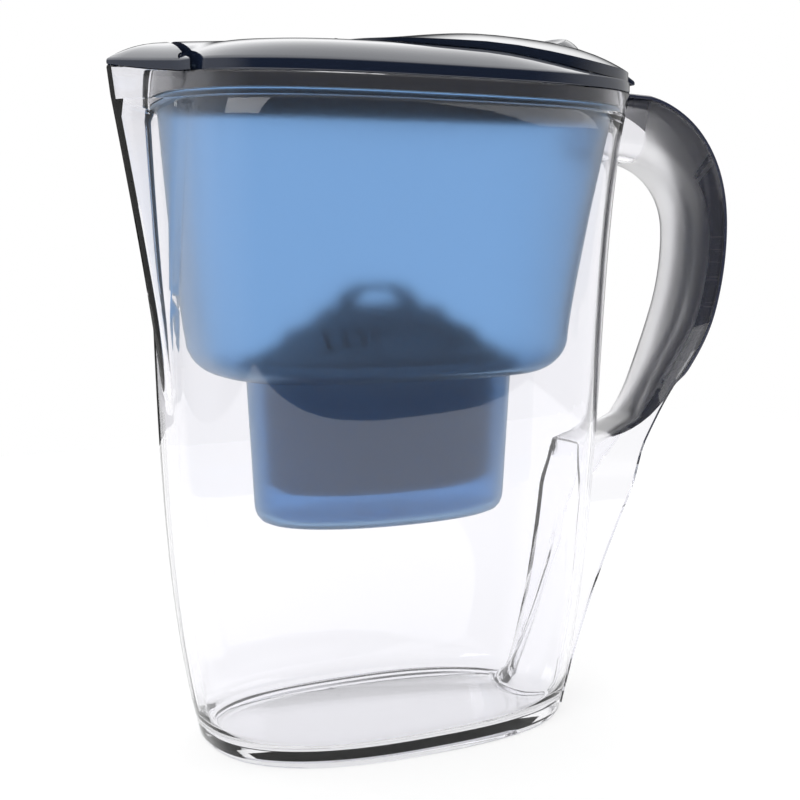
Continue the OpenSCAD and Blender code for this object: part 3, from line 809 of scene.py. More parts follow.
@dataclass(frozen=True)
class HandleForm:
    """The handle's two curves in the XZ plane and the webs below it."""

    form: JugForm = FORM
    strip: float = 3.0
    grip_depth: float = 10.0
    fit: float = 0.3
    top: int = 8
    low: int = 11
    web_from: int = 16
    web_low: float = 0.6
    bow_x: float = 98.0
    bow_reach: float = 43.0
    bow_rise: float = 32.0
    bow_n: float = 2.3
    bend: float = 95.0
    bend_end: float = 44.5
    slope: float = 0.53
    drop: float = 75.3
    low_end: tuple[float, float] = (100.0, 108.8)

    @property
    def count(self) -> int:
        """Number of the last station, on the jug's wall."""
        return self.top + self.low + 1

    @property
    def mid_z(self) -> float:
        """Height of the handle's widest point."""
        return self.form.rim_z - self.form.handle_mid

    @staticmethod
    def arc(cx: float, cz: float, a: float, b: float, n: float, angle: float) -> np.ndarray:
        """Point of a rounded arc at an angle in degrees."""
        c, s = math.cos(math.radians(angle)), math.sin(math.radians(angle))
        return np.array([cx + a * c ** (2 / n), cz + b * math.copysign(abs(s) ** (2 / n), s)])

    def back(self, i: float) -> np.ndarray:
        """Point of the grip's outer face at station i."""
        reach = self.form.grip_reach
        if i <= self.top:
            return self.arc(reach - 56, self.mid_z, 56, 57.5, 2.2, 78 * (1 - (i - 1) / (self.top - 1)))
        if i <= self.count - 1:
            k = i - self.top
            turn = 5.9 * k + 0.054 * k * k + 12.6 * max(0.0, k - self.low + 1)
            return self.arc(reach - 60, self.mid_z, 60, 86, 1.95, -turn)
        last = np.array([reach - 63, self.mid_z - 89])
        return lerp(self.back(self.count - 1), last, i - self.count + 1)

    def finger(self, i: float) -> np.ndarray:
        """Point of the finger side at station i."""
        if i <= self.top:
            return self.arc(self.bow_x, self.mid_z - 2, self.bow_reach, self.bow_rise, self.bow_n,
                            72 * (1 - (i - 1) / (self.top - 1)))
        if i <= self.count - 2:
            dz = self.drop * (i - self.top) / (self.low - 1)
            curved = min(dz, self.bend_end)
            x = (self.bow_x + self.bow_reach - self.bend + math.sqrt(self.bend ** 2 - curved ** 2)
                 - self.slope * (dz - curved))
            return np.array([x, self.mid_z - 2 - dz])
        corner = np.array(self.low_end)
        if i <= self.count - 1:
            return lerp(self.finger(self.count - 2), corner, i - self.count + 2)
        wall = np.array([self.form.rear_len(self.mid_z - 87) - 1.4, self.mid_z - 86.5])
        return lerp(corner, wall, i - self.count + 1)

    def root(self, dx: float, up: float) -> np.ndarray:
        """Point on the jug's wall above the handle's middle."""
        return np.array([self.form.rear_len(min(self.form.rim_z, self.mid_z + up)) + dx, self.mid_z + up])

    def depth(self, i: float) -> float:
        """Depth of the handle at station i."""
        return float(np.linalg.norm(self.back(i) - self.finger(i)))

    def half_at(self, i: float) -> float:
        """Half width of the handle at station i."""
        return self.form.web_half((self.finger(i)[1] + self.back(i)[1]) / 2) + self.form.handle_wall

    @property
    def web_end(self) -> np.ndarray:
        """Point where the webs' free edge meets the grip's strip."""
        a, b, i = self.finger(self.web_from), self.back(self.web_from), self.web_from
        return a + (b - a) / self.depth(i) * (self.depth(i) - self.strip)

    def web_edge(self, z: float) -> float:
        """Reach of the webs' free edge at height z."""
        x0, m, end = self.form.foot_rear - 1.5, 0.3, self.web_end
        return x0 + m * z + (end[0] - x0 - m * end[1]) * (z / end[1]) ** 2

    def end_s(self, i: float) -> float:
        """Depth at which the clear walls end at station i."""
        if i <= self.web_from:
            return self.depth(i) - self.strip
        a, d = self.finger(i), (self.back(i) - self.finger(i)) / self.depth(i)
        s = self.depth(i)
        for _ in range(6):
            p = a + s * d
            s += (self.web_edge(p[1]) - p[0]) / (d[0] - 0.5 * d[1])
        return s

    def corner(self, i: float) -> float:
        """Rounding of the finger side at station i."""
        return lerp(8, 2, smooth((i - self.web_from) / 4))

    def u_ring(self, a: np.ndarray, b: np.ndarray, s1: float, sb: float, r: float) -> Ring:
        """U section of the clear channel.

        Args:
            a: point on the finger side.
            b: point that the section runs towards.
            s1: depth at which the walls end.
            sb: depth of the extra row that parts the handle from the webs.
            r: rounding of the finger side.

        Returns:
            The section as a ring.
        """
        w, q = self.form.handle_wall, min(r, s1 * 0.7)
        q2, d = q - 1, (b - a) / np.linalg.norm(b - a)

        def put(s: float, side: int, t: float) -> tuple[float, float, float]:
            """Places one point of the section."""
            p = a + s * d
            return p[0], side * (self.form.web_half(p[1]) + t), p[1]

        turn = [math.radians(v) for v in range(0, 91, 15)]
        out = [put(s1, -1, w), put(sb, -1, w)]
        out += [put(q - q * math.sin(v), -1, w - q + q * math.cos(v)) for v in turn]
        out += [put(q - q * math.sin(v), 1, w - q + q * math.cos(v)) for v in reversed(turn)]
        out += [put(sb, 1, w), put(s1, 1, w), put(s1, 1, 0), put(sb, 1, 0)]
        out += [put(w + q2 - q2 * math.sin(v), 1, q2 * math.cos(v) - q2) for v in turn]
        out += [put(w + q2 - q2 * math.sin(v), -1, q2 * math.cos(v) - q2) for v in reversed(turn)]
        return np.array(out + [put(sb, -1, 0), put(s1, -1, 0)])

    def web_ring(self, z: float) -> Ring:
        """Section of the two webs at height z, bridged within the jug's wall."""
        form = self.form
        c = form.web_half(z)
        w, x = c + form.handle_wall, self.web_edge(z)
        share = [1, 0.9, 0.76, 0.6, 0.42, 0.24, 0.08]
        near, far = form.wall_x(z, w, 1.7), form.wall_x(z, c, 0.7)
        out = [(x, -w, z), (lerp(near, x, 0.6), -w, z)]
        out += [(form.wall_x(z, w * f, 1.7), -w * f, z) for f in share]
        out += [(form.wall_x(z, w * f, 1.7), w * f, z) for f in reversed(share)]
        out += [(lerp(near, x, 0.6), w, z), (x, w, z), (x, c, z), (lerp(far, x, 0.6), c, z)]
        out += [(form.wall_x(z, c * f, 0.7), c * f, z) for f in share]
        out += [(form.wall_x(z, c * f, 0.7), -c * f, z) for f in reversed(share)]
        return np.array(out + [(lerp(far, x, 0.6), -c, z), (x, -c, z)])

    def stations(self, per: int = 4) -> list[float]:
        """Stations from the root to the wall, per of them to each CAD station."""
        return [1 + k / per for k in range((self.count - 1) * per + 1)]

    def channel(self) -> list[Ring]:
        """Rings of the clear channel and the webs."""
        form = self.form
        rings = [self.u_ring(self.root(-1.3, 30), self.root(-1.3, form.handle_mid - 0.3), 23.2, 22.6, 8)]
        for i in self.stations():
            s1 = self.end_s(i)
            rings.append(self.u_ring(self.finger(i), self.back(i), s1,
                                     min(s1 - 0.5, self.depth(i) - self.strip), self.corner(i)))
        rings += [self.web_ring(lerp(self.mid_z - 96, self.web_low, k / 26)) for k in range(27)]
        return rings

    def is_handle(self, x: float, z: float) -> bool:
        """Tells whether a point of the channel lies above the webs."""
        p = np.array([x, z])
        for i in self.stations(2):
            a, b = self.finger(i), self.back(i)
            d = (b - a) / self.depth(i)
            s = float(np.clip(np.dot(p - a, d), -0.5, max(1.5, self.depth(i) - self.grip_depth - 2.5)))
            if np.linalg.norm(p - a - s * d) < 3.2:
                return True
        return False

    def grip_ring(self, a: np.ndarray, b: np.ndarray, d: float, front: float, half: float, cap: float) -> Ring:
        """T section of the grip: a body with a crowned strip over the walls.

        Args:
            a: point on the finger side.
            b: point on the back.
            d: depth of the back from a.
            front: depth of the grip's body.
            half: half width of the handle here.
            cap: half width of the strip here.

        Returns:
            The section as a ring.
        """
        inner = half - self.form.handle_wall - self.fit
        q = min(5.0, front * 0.4, (front - self.strip + self.fit) * 0.9)
        s0, s1 = d - front, d - self.strip + self.fit
        run = (b - a) / np.linalg.norm(b - a)

        def put(s: float, y: float) -> tuple[float, float, float]:
            """Places one point of the section."""
            p = a + s * run
            return p[0], y, p[1]

        crown = [(d - 1.2 * f ** 2.4, cap * f) for f in (0.2, 0.4, 0.6, 0.8, 0.93)]
        side = crown + [(d - 1.5, cap), (s1 + 0.3, cap), (s1, cap - 0.3), (s1, inner)]
        turn = [math.radians(v) for v in range(0, 91, 15)]
        nose = [(s0 + q - q * math.sin(t), inner - q + q * math.cos(t)) for t in turn]
        half_ring = side + nose
        return np.array([put(d, 0)] + [put(s, -y) for s, y in half_ring]
                        + [put(s, y) for s, y in reversed(half_ring)])

    def grip(self) -> list[Ring]:
        """Rings of the grip."""
        form = self.form
        rings = [self.grip_ring(self.root(0.9, 30), self.root(0.9, form.handle_mid + 3.9), 27.4, 5.5,
                                form.handle_half, form.handle_half)]
        for i in self.stations():
            if i > self.count - 1:
                break
            u, half, d = i / self.count, self.half_at(i), self.depth(i)
            front = min(d - form.handle_wall - 1, lerp(5.5, self.grip_depth, clamp01(min(u, 1 - u) * 4.5)))
            cap = lerp(half, half - form.handle_wall - self.fit, smooth(i - self.web_from + 1))
            rings.append(self.grip_ring(self.finger(i), self.back(i), d, front, half, cap))
        return rings


# ---------------------------------------------------------------------------
# Sub-assemblies
# ---------------------------------------------------------------------------


@dataclass
class Assembly:
    """What every sub-assembly shares: the palette and a list of its pieces."""

    palette: Palette
    pieces: list[bpy.types.Object] = field(default_factory=list)

    def place(self, obj: bpy.types.Object, node: str, body: str, slot: str) -> None:
        """Lets a piece stand for a CAD node and ride on its body.

        Args:
            obj: the finished piece.
            node: the CAD node that it stands for.
            body: the body that it rides on.
            slot: the record's material slot; not used.
        """
        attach(obj, body)
        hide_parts(node)
        self.pieces.append(obj)
        LOG.info("%s stands for %s: %d faces", obj.name, node, len(obj.data.polygons))


@dataclass
class ClearJug(Assembly):
    """The clear jug with its hollow handle, webs and scoop."""

    form: JugForm = FORM
    handle: HandleForm = field(default_factory=HandleForm)
    levels: int = 52

    def rings(self) -> list[Ring]:
        """Rings from the foot's recess up the outside and down the inside."""
        f = self.form
        up = [1.2 + (f.rim_z - 2.4) * (k / self.levels) ** 1.08 for k in range(1, self.levels)]
        out = [f.level(f.floor_z - 2.6, f.foot_ring + 1.4), f.level(f.floor_z - 3.2, f.foot_ring + 0.8),
               f.level(0, f.foot_ring + 0.5), f.level(0, 1.1), f.level(0.25, 0.45), f.level(1.2, 0)]
        out += [f.level(z) for z in up]
        out += [f.rim(0, -0.7), f.rim(0.15, 0.0), f.rim(0.55, 0.3), f.rim(f.pocket - 0.5, 0.3), f.rim(f.pocket, -0.2)]
        out += [f.level(f.ledge_z, f.pocket), f.level(f.ledge_z, f.pocket + f.ledge), f.level(f.ledge_z - 6, f.wall)]
        out += [f.level(z, f.wall) for z in reversed(up) if f.floor_z + 9 < z < f.ledge_z - 8]
        out += [f.level(f.floor_z + h, f.wall + i) for h, i in
                ((7, 0.05), (4.6, 0.35), (2.6, 1.1), (1.1, 2.4), (0.3, 4.2), (0, 6.5))]
        return out

    def build(self) -> None:
        """Models, dresses and places the jug."""
        jug = Bench.loft("clear_jug", self.rings())
        channel = Bench.loft("handle_channel", self.handle.channel())
        self.palette.dress(jug, Look.CLEAR, Look.FROSTED)
        self.palette.dress(channel, Look.CLEAR, Look.FROSTED)
        for face in channel.data.polygons:
            x, z = face.center.x / MM + self.form.shift, face.center.z / MM
            face.material_index = int(z > 98 and x > self.form.rear_len(z) + 0.5 and self.handle.is_handle(x, z))
        Bench.combine(jug, channel, "UNION")
        Bench.soften(jug, 38)
        self.place(jug, "jug_body", "jug", "clear_jug")


@dataclass
class Grip(Assembly):
    """The dark insert of the handle."""

    handle: HandleForm = field(default_factory=HandleForm)

    def build(self) -> None:
        """Models, dresses and places the grip."""
        grip = Bench.loft("grip_insert", self.handle.grip())
        self.palette.dress(grip, Look.GRIP)
        Bench.soften(grip, 40)
        self.place(grip, "handle_grip", "jug", "navy_grip")


@dataclass
class Hopper(Assembly):
    """The frosted hopper with the cartridge well."""

    form: JugForm = FORM
    floor: float = 138.0
    long: float = 75.5
    half: float = 41.5
    wall: float = 2.0
    flange: float = 2.0
    well_long: float = 54.0
    well_half: float = 32.5
    well_depth: float = 55.5
    edge: float = 18.0
    side_edge: float = 4.5
    drop: float = 14.0
    outlet: float = 7.0

    @property
    def foot(self) -> float:
        """Height at which the rounded floor edge starts."""
        return self.floor + self.drop

    @property
    def well_z(self) -> float:
        """Height of the well's floor, outside."""
        return self.floor - self.well_depth

    def ring(self, z: float, inset: float, side: float | None = None) -> Ring:
        """Ring of the hopper's wall.

        Args:
            z: height.
            inset: distance inwards at the ends.
            side: distance inwards along the sides, the same if left out.

        Returns:
            The ring.
        """
        f = self.form
        into = f.pocket + f.ledge + 0.6
        u = clamp01((z - self.foot) / (f.ledge_z - self.foot))
        return at(f.egg(lerp(self.long, f.front_len(f.ledge_z) - into, u ** 0.75) - inset,
                        lerp(self.long + 0.5, f.rear_len(f.ledge_z) - into, u ** 1.2) - inset,
                        lerp(self.half, f.half_w(f.ledge_z) - into, u) - (inset if side is None else side), 2.9), z)

    def turn(self, angle: float, inset: float, up: float) -> Ring:
        """Ring of the rounded floor edge at an angle from the wall."""
        v, s = 1 - math.cos(math.radians(angle)), math.sin(math.radians(angle))
        ring = self.ring(self.foot, inset + (self.edge - inset) * v, inset + (self.side_edge - inset) * v)
        ring[:, 2] = self.foot - (self.drop - up) * s
        return ring

    def well(self, z: float, inset: float) -> Ring:
        """Ring of the cartridge well."""
        t = 3 * (self.floor - z) / self.well_depth + inset
        return at(self.form.egg(self.well_long - t, self.well_long - t, self.well_half - t, 2.2), z)

    def rings(self) -> list[Ring]:
        """Rings from the well's floor up the outside and down the inside."""
        f, h, steps = self.form, self.form.ledge_z - self.foot, 26
        low = [(7, 0), (4.2, 0.25), (2.2, 1.1), (0.9, 2.7), (0.25, 4.6), (0, 6.6)]
        top = f.ledge_z + 0.2
        into = f.pocket + 0.6
        lip = [(top, into + 0.2), (top + 0.3, into), (top + self.flange - 0.3, into), (top + self.flange, into + 0.3)]
        out = [self.well(self.well_z + up, i) for i, up in low]
        out += [self.well(lerp(self.well_z + 6.6, self.floor - 1.8, k / 8), 0) for k in range(1, 9)]
        out += [self.well(self.floor - 0.5, -0.5), self.well(self.floor, -1.6)]
        out += [self.turn(a, 0, 0) for a in range(90, 0, -9)]
        out += [self.ring(self.foot + h * k / steps, 0) for k in range(steps + 1)]
        out += [at(f.egg(f.front_len(f.ledge_z) - i, f.rear_len(f.ledge_z) - i, f.half_w(f.ledge_z) - i, f.rim_n), z)
                for z, i in lip]
        brim = self.ring(f.ledge_z, self.wall)
        brim[:, 2] = top + self.flange
        out += [brim] + [self.ring(self.foot + h * k / steps, self.wall) for k in range(steps - 1, -1, -1)]
        out += [self.turn(a, self.wall, self.wall) for a in range(9, 91, 9)]
        out += [self.well(self.floor + self.wall, self.wall - 1.6), self.well(self.floor + 0.9, self.wall - 0.4),
                self.well(self.floor - 0.3, self.wall)]
        out += [self.well(lerp(self.floor - 2, self.well_z + 7.4, k / 8), self.wall) for k in range(9)]
        out += [self.well(self.well_z + self.wall + up, self.wall + i) for i, up in
                ((0.3, 3.4), (1.2, 1.6), (2.8, 0.5), (5.2, 0))]
        return out

    def build(self) -> None:
        """Models, dresses and places the hopper."""
        tub = Bench.loft("hopper_tub", self.rings())
        Bench.combine(tub, Bench.cylinder("boss", (0, 0, self.well_z - 3), (0, 0, self.well_z + 0.6), self.outlet + 1.6, 64), "UNION")
        Bench.combine(tub, Bench.cylinder("outlet", (0, 0, self.well_z - 9), (0, 0, self.well_z + 9), self.outlet, 64), "DIFFERENCE")
        self.palette.dress(tub, Look.HOPPER)
        Bench.soften(tub, 38)
        self.place(tub, "hopper", "hopper", "blue_hopper")


@dataclass
class Cartridge(Assembly):
    """The cartridge: its shell, cap, seal, screens and filter bed."""

    def build(self, nodes: dict[str, bpy.types.Object]) -> None:
        """Models, dresses and places the cartridge's pieces.

        Args:
            nodes: the CAD nodes by name.
        """
        plan = (("cartridge_shell", "cartridge_body", Look.CARTRIDGE, "white_cartridge", 0.35),
                ("cartridge_cap", "vented_cap", Look.CARTRIDGE, "white_cartridge", 0.3),
                ("cartridge_gasket", "sealing_ring", Look.SEAL, "grey_seal", 0.4),
                ("upper_screen", "top_screen", Look.SCREEN, "screen", 0.15),
                ("lower_screen", "bottom_screen", Look.SCREEN, "screen", 0.15),
                ("granule_bed", "filter_bed", Look.GRANULES, "granules", 1.2))
        for node, name, look, slot, bevel in plan:
            piece = Bench.copy_node(name, nodes[node])
            self.palette.dress(piece, look)
            Bench.soften(piece, 30, bevel)
            self.place(piece, node, "cartridge", slot)


@dataclass
class Lid(Assembly):
    """The lid: its frame, the flip cover, the spout flap and the reminder dial."""

    form: JugForm = FORM
    edge: float = 4.5
    dome_h: float = 9.2
    wall: float = 1.8
    flip_rise: float = 16.5
    flip_half: float = 42.0
    barrel_r: float = 2.2
    pin_r: float = 1.2
    dial_r: float = 18.5
    hinge_x: float = -84.3
    flip_x: float = -29.3
    flip_mid: float = 35.0
    dial_x: float = 75.0
    fit: float = 0.3

    @property
    def lid_z(self) -> float:
        """Height of the lid's edge."""
        return self.form.rim_z + self.edge

    @staticmethod
    def fade(x: float) -> float:
        """How much of the dome is left at place x."""
        return 1 - smooth((x - 15) / 95)

    def dome_ring(self, s: float, drop: float) -> Ring:
        """Ring of the dome.

        Args:
            s: size of the ring as a share of the rim's outline.
            drop: distance below the dome's face.

        Returns:
            The ring.
        """
        out = []
        for x, y in self.form.outline(self.form.rim_z, 0):
            z = (self.lid_z + 0.35 * self.form.lift(x) * smooth(2.5 * s - 1.5) - drop
                 + self.dome_h * self.fade(x * s) * (1 - s ** 8))
            out.append((x * s, y * s, z))
        return np.array(out)

    def dome_z(self, x: float, y: float) -> float:
        """Height of the dome over a place behind the spout."""
        f = self.form
        length = f.front_len(f.rim_z) if x < 0 else f.rear_len(f.rim_z)
        s = ((abs(x) / length) ** f.rim_n + (abs(y) / f.rim_half) ** f.rim_n) ** (1 / f.rim_n)
        return self.lid_z + self.dome_h * self.fade(x) * (1 - min(1.0, s) ** 8)

    def outer(self) -> bpy.types.Object:
        """Solid under the dome's face."""
        f = self.form
        start = at(f.outline(f.rim_z, 0) * 0.5, f.rim_z + self.fit)
        sizes = [0.997, 0.99, 0.98, 0.966, 0.95, 0.93, 0.905, 0.875, 0.84, 0.79, 0.72, 0.62, 0.5, 0.36, 0.2, 0.03]
        return Bench.loft("lid_outer", [start, f.rim(0.5, self.fit), f.rim(0.15, self.fit + 0.15),
                                        f.rim(0, self.fit + 0.6), self.dome_ring(1, 0.7), self.dome_ring(0.999, 0.25)]
                          + [self.dome_ring(s, 0) for s in sizes])

    def inner(self) -> bpy.types.Object:
        """Hollow under the dome."""
        f = self.form
        rings = [f.level(z, 3.4) for z in (f.rim_z - 4, self.lid_z - self.wall)]
        return Bench.loft("lid_inner", rings + [self.dome_ring(s, self.wall) for s in (0.9, 0.84, 0.75, 0.6, 0.4, 0.03)])

    def shell(self, name: str, end: float, rear: bool) -> bpy.types.Object:
        """Cuts the hollow dome at the flap's hinge.

        Args:
            name: name of the piece.
            end: place of the cut.
            rear: keeps the frame, otherwise the flap.

        Returns:
            The shell with a closed wall along the cut.
        """
        body, hollow = self.outer(), self.inner()
        body.name = body.data.name = name
        Bench.cut(body, end, rear)
        Bench.cut(hollow, end + (self.wall if rear else -self.wall), rear)
        Bench.combine(body, hollow, "DIFFERENCE")
        return body

    def barrel(self, name: str, x: float, z: float, y0: float, y1: float, r: float) -> bpy.types.Object:
        """Adds a hinge cylinder across the pitcher."""
        return Bench.cylinder(name, (x, y0, z), (x, y1, z), r)

    def frame(self) -> bpy.types.Object:
        """Models the lid's frame with its skirt and knuckles."""
        f, hz, fz = self.form, self.lid_z + 0.5, self.lid_z + self.dome_h - 1
        body = self.shell("lid_frame_dome", self.hinge_x + 2.3, True)
        low = f.ledge_z + 2.2 + self.fit

        def skirt_ring(i: float, z: float) -> Ring:
            """Ring of the skirt inside the rim."""
            return at(f.egg(f.front_len(f.rim_z) - i, f.rear_len(f.ledge_z) - i, f.rim_half - i, f.rim_n), z)

        skirt = Bench.loft("skirt", [skirt_ring(2.3, low), skirt_ring(2.3, f.rim_z + 0.05), skirt_ring(2.3, f.rim_z + 1)])
        Bench.combine(skirt, Bench.loft("skirt_hollow", [skirt_ring(3.9, low - 1), skirt_ring(3.9, f.rim_z + 2)]), "DIFFERENCE")
        Bench.combine(skirt, Bench.block("front", (-200, -80, f.rim_z + 0.1), (self.hinge_x + 2.8, 80, f.rim_z + 5)), "DIFFERENCE")
        Bench.combine(body, skirt, "UNION")
        deck = Bench.block("slot", (self.flip_x - 3.1, -18.3, fz - 5), (self.flip_x + 3.1, 18.3, fz + 5))
        Bench.combine(body, deck, "DIFFERENCE")
        fill = [at(f.egg(50, 50, 31, 2.8) + np.array([33.0, 0.0]), z) for z in (f.rim_z - 1, self.lid_z + 20)]
        Bench.combine(body, Bench.loft("fill_opening", fill), "DIFFERENCE")
        Bench.combine(body, self.barrel("relief", self.hinge_x, hz, -15.3, 15.3, self.barrel_r + 0.4), "DIFFERENCE")
        extra = []
        for s in (-1, 1):
            y = s * 17.3
            knuckle = self.barrel("flap_knuckle", self.hinge_x, hz, y - 2, y + 2, self.barrel_r)
            Bench.combine(knuckle, Bench.block("arm", (self.hinge_x, y - 2, hz - 1.5), (self.hinge_x + 4, y + 2, hz + 1.5)), "UNION")
            Bench.combine(knuckle, self.barrel("bore", self.hinge_x, hz, y - 3, y + 3, self.pin_r + 0.05), "DIFFERENCE")
            yf = s * (18.3 + 4.7 / 2)
            extra += [knuckle, self.barrel("flip_knuckle", self.flip_x, fz, yf - 2.35, yf + 2.35, self.barrel_r)]
        Bench.join(body, extra)
        return body

    def flap(self) -> bpy.types.Object:
        """Models the spout flap with its barrel and pins."""
        hz = self.lid_z + 0.5
        body = self.shell("spout_flap_shell", self.hinge_x - 0.6, False)
        Bench.combine(body, self.barrel("flap_barrel", self.hinge_x, hz, -15, 15, self.barrel_r), "UNION")
        for s in (-1, 1):
            Bench.combine(body, self.barrel("room", self.hinge_x, hz, s * 17.3 - 2.3, s * 17.3 + 2.3, self.barrel_r + 0.4), "DIFFERENCE")
        Bench.join(body, [self.barrel("flap_pin", self.hinge_x, hz, -18.5, 18.5, self.pin_r)])
        return body

    def flip_ring(self, u: float) -> tuple[Ring, Ring]:
        """Outline of the flip lid at size u, and its full outline."""
        f, front = self.form, self.flip_mid - self.flip_x - 1.8
        rear = f.rear_len(f.rim_z) - self.flip_mid
        shape = [f.egg(front * v, rear * v, self.flip_half * v, 3.2, 12 * v) + np.array([self.flip_mid, 0.0])
                 for v in (u, 1.0)]
        return shape[0], shape[1]

    def flip_top(self, u: float, drop: float = 0.0) -> Ring:
        """Ring of the flip lid's crown at size u."""
        small, full = self.flip_ring(u)
        out = []
        for (x, y), (rx, _) in zip(small, full):
            low = self.lid_z + self.dome_h + 1.1 - 6.3 * smooth((rx - 20) / 80)
            top = self.lid_z + lerp(self.dome_h + 3.0, self.flip_rise, smooth((x - self.flip_x) / 62))
            out.append((x, y, lerp(low, top, 1 - u ** 3.3) - drop))
        return np.array(out)

    def flip_under(self, u: float) -> Ring:
        """Ring of the flip lid's underside at size u."""
        ring = self.flip_top(u, self.wall)
        ring[:, 2] = [max(z, self.dome_z(x, y) + self.fit) for x, y, z in ring]
        return ring

    @property
    def dial_place(self) -> Matrix:
        """Turns the dial's own frame into the pitcher's, in metres."""
        return (Matrix.Translation(((self.dial_x - self.form.shift) * MM, 0, (self.lid_z + self.flip_rise - 1.9) * MM))
                @ Matrix.Rotation(math.radians(11), 4, "Y"))

    def turned(self, name: str, profile: Sequence[tuple[float, float]], sides: int = 96) -> bpy.types.Object:
        """Turns a profile of radius and height about the dial's axis.

        Args:
            name: name of the piece.
            profile: radius and height in millimetres, from bottom to top.
            sides: facets round it.

        Returns:
            The closed turned piece, in the pitcher's frame.
        """
        rings = [np.array([(r * math.cos(2 * math.pi * k / sides), r * math.sin(2 * math.pi * k / sides), z)
                           for k in range(sides)]) for r, z in profile]
        piece = Bench.loft(name, rings, shift=0)
        piece.data.transform(self.dial_place)
        return piece

    def flip(self) -> bpy.types.Object:
        """Models the flip cover with its pad, barrel and thumb lip."""
        edge = [self.flip_top(u) for u in (1.0, 0.994, 0.985, 0.97, 0.95, 0.92, 0.88, 0.82, 0.74, 0.64, 0.52, 0.38, 0.22, 0.03)]
        foot = self.flip_ring(1.0)[0]
        hem = np.array([(x, y, self.dome_z(x, y) + self.fit) for x, y in foot])
        under = [self.flip_under(u) for u in (0.03, 0.2, 0.4, 0.6, 0.75, 0.86, 0.93, 0.96)]
        body = Bench.loft("flip_cover", under + [hem, self.flip_top(1.0, 0.5)] + edge)
        pad, pocket = 3.2 + self.fit, self.dial_r + self.fit
        Bench.combine(body, self.turned("pad", [(pocket + 1.2, -pad - 1.8), (pocket + 1.2, -2.4), (pocket + 0.8, -2.1)]), "UNION")
        Bench.combine(body, self.turned("pocket", [(pocket, -pad), (pocket, 14)]), "DIFFERENCE")
        Bench.combine(body, self.turned("stub_hole", [(2.45, -20), (2.45, 10)], 48), "DIFFERENCE")
        fz, top = self.lid_z + self.dome_h - 1, self.lid_z + self.dome_h
        x, z = self.form.rear_len(self.form.rim_z), self.lid_z
        lip = Bench.prism("thumb_lip", [(x - 2, z + 1.6), (x + 1, z + 1.9), (x + 4, z + 1.95), (x + 6, z + 2), (x + 7.6, z + 1.2),
                                        (x + 9.2, z + 1.4), (x + 9.1, z + 2.6), (x + 8.6, z + 3.2), (x + 6, z + 4.7),
                                        (x + 4, z + 5.3), (x + 2, z + 5.7), (x - 2, z + 5.5)], 12)
        Bench.soften(lip, 30, 0.5)
        Bench.join(body, [lip, self.barrel("flip_barrel", self.flip_x, fz, -18, 18, self.barrel_r),
                          self.barrel("flip_pin", self.flip_x, fz, -22, 22, self.pin_r),
                          Bench.prism("strap", [(self.flip_x, top + 0.3), (self.flip_x + 5, top + 0.3),
                                                (self.flip_x + 5, top + 1.3), (self.flip_x, top + 1.1)], 18)])
        return body

    def dial(self) -> bpy.types.Object:
        """Models the reminder dial with its hollowed grip bump."""
        r, head = self.dial_r, -3.2 - 0.6 - 1.8
        face = [(r * k / 12, -1.9 * (k / 12) ** 2) for k in range(11, 0, -1)]
        disc = self.turned("dial_disc", [(0.4, head - 1.6), (2.4, head - 1.6), (3.4, head), (2.4, head), (2.4, -3.2), (r - 0.4, -3.2),
                                         (r, -2.9), (r, -2.3), (r - 0.15, -2.0), (r - 0.5, -1.83)] + face[1:] + [(0.2, 0)])
        Bench.clear()
        bpy.ops.mesh.primitive_uv_sphere_add(segments=64, ring_count=32, radius=12.55 * MM, location=(5 * MM, 0, -6.5 * MM))
        bump = bpy.context.object
        bpy.ops.object.transform_apply(location=True, rotation=True, scale=True)
        Bench.clear()
        bpy.ops.mesh.primitive_uv_sphere_add(segments=96, ring_count=48, radius=19.3 * MM, location=(-8 * MM, -4 * MM, 19 * MM))
        hollow = bpy.context.object
        bpy.ops.object.transform_apply(location=True, rotation=True, scale=True)
        Bench.combine(bump, hollow, "DIFFERENCE")
        bump.data.transform(self.dial_place)
        low = self.turned("low", [(40, -40), (40, -2.4)])
        Bench.combine(bump, low, "DIFFERENCE")
        Bench.combine(disc, bump, "UNION")
        disc.name = disc.data.name = "turning_dial"
        return disc

    def build(self) -> None:
        """Models, dresses and places the lid's pieces."""
        plan = ((self.frame, "lid_frame", "lid", Look.LID, "navy_lid", 0.0),
                (self.flip, "flip_lid", "flip", Look.LID, "navy_flip", 0.0),
                (self.flap, "spout_flap", "flap", Look.LID, "navy_lid", 0.0),
                (self.dial, "reminder_dial", "dial", Look.DIAL, "navy_dial", 0.25))
        for make, node, body, look, slot, bevel in plan:
            piece = make()
            self.palette.dress(piece, look)
            Bench.soften(piece, 34, bevel)
            self.place(piece, node, body, slot)


# ---------------------------------------------------------------------------
# Studio
# ---------------------------------------------------------------------------


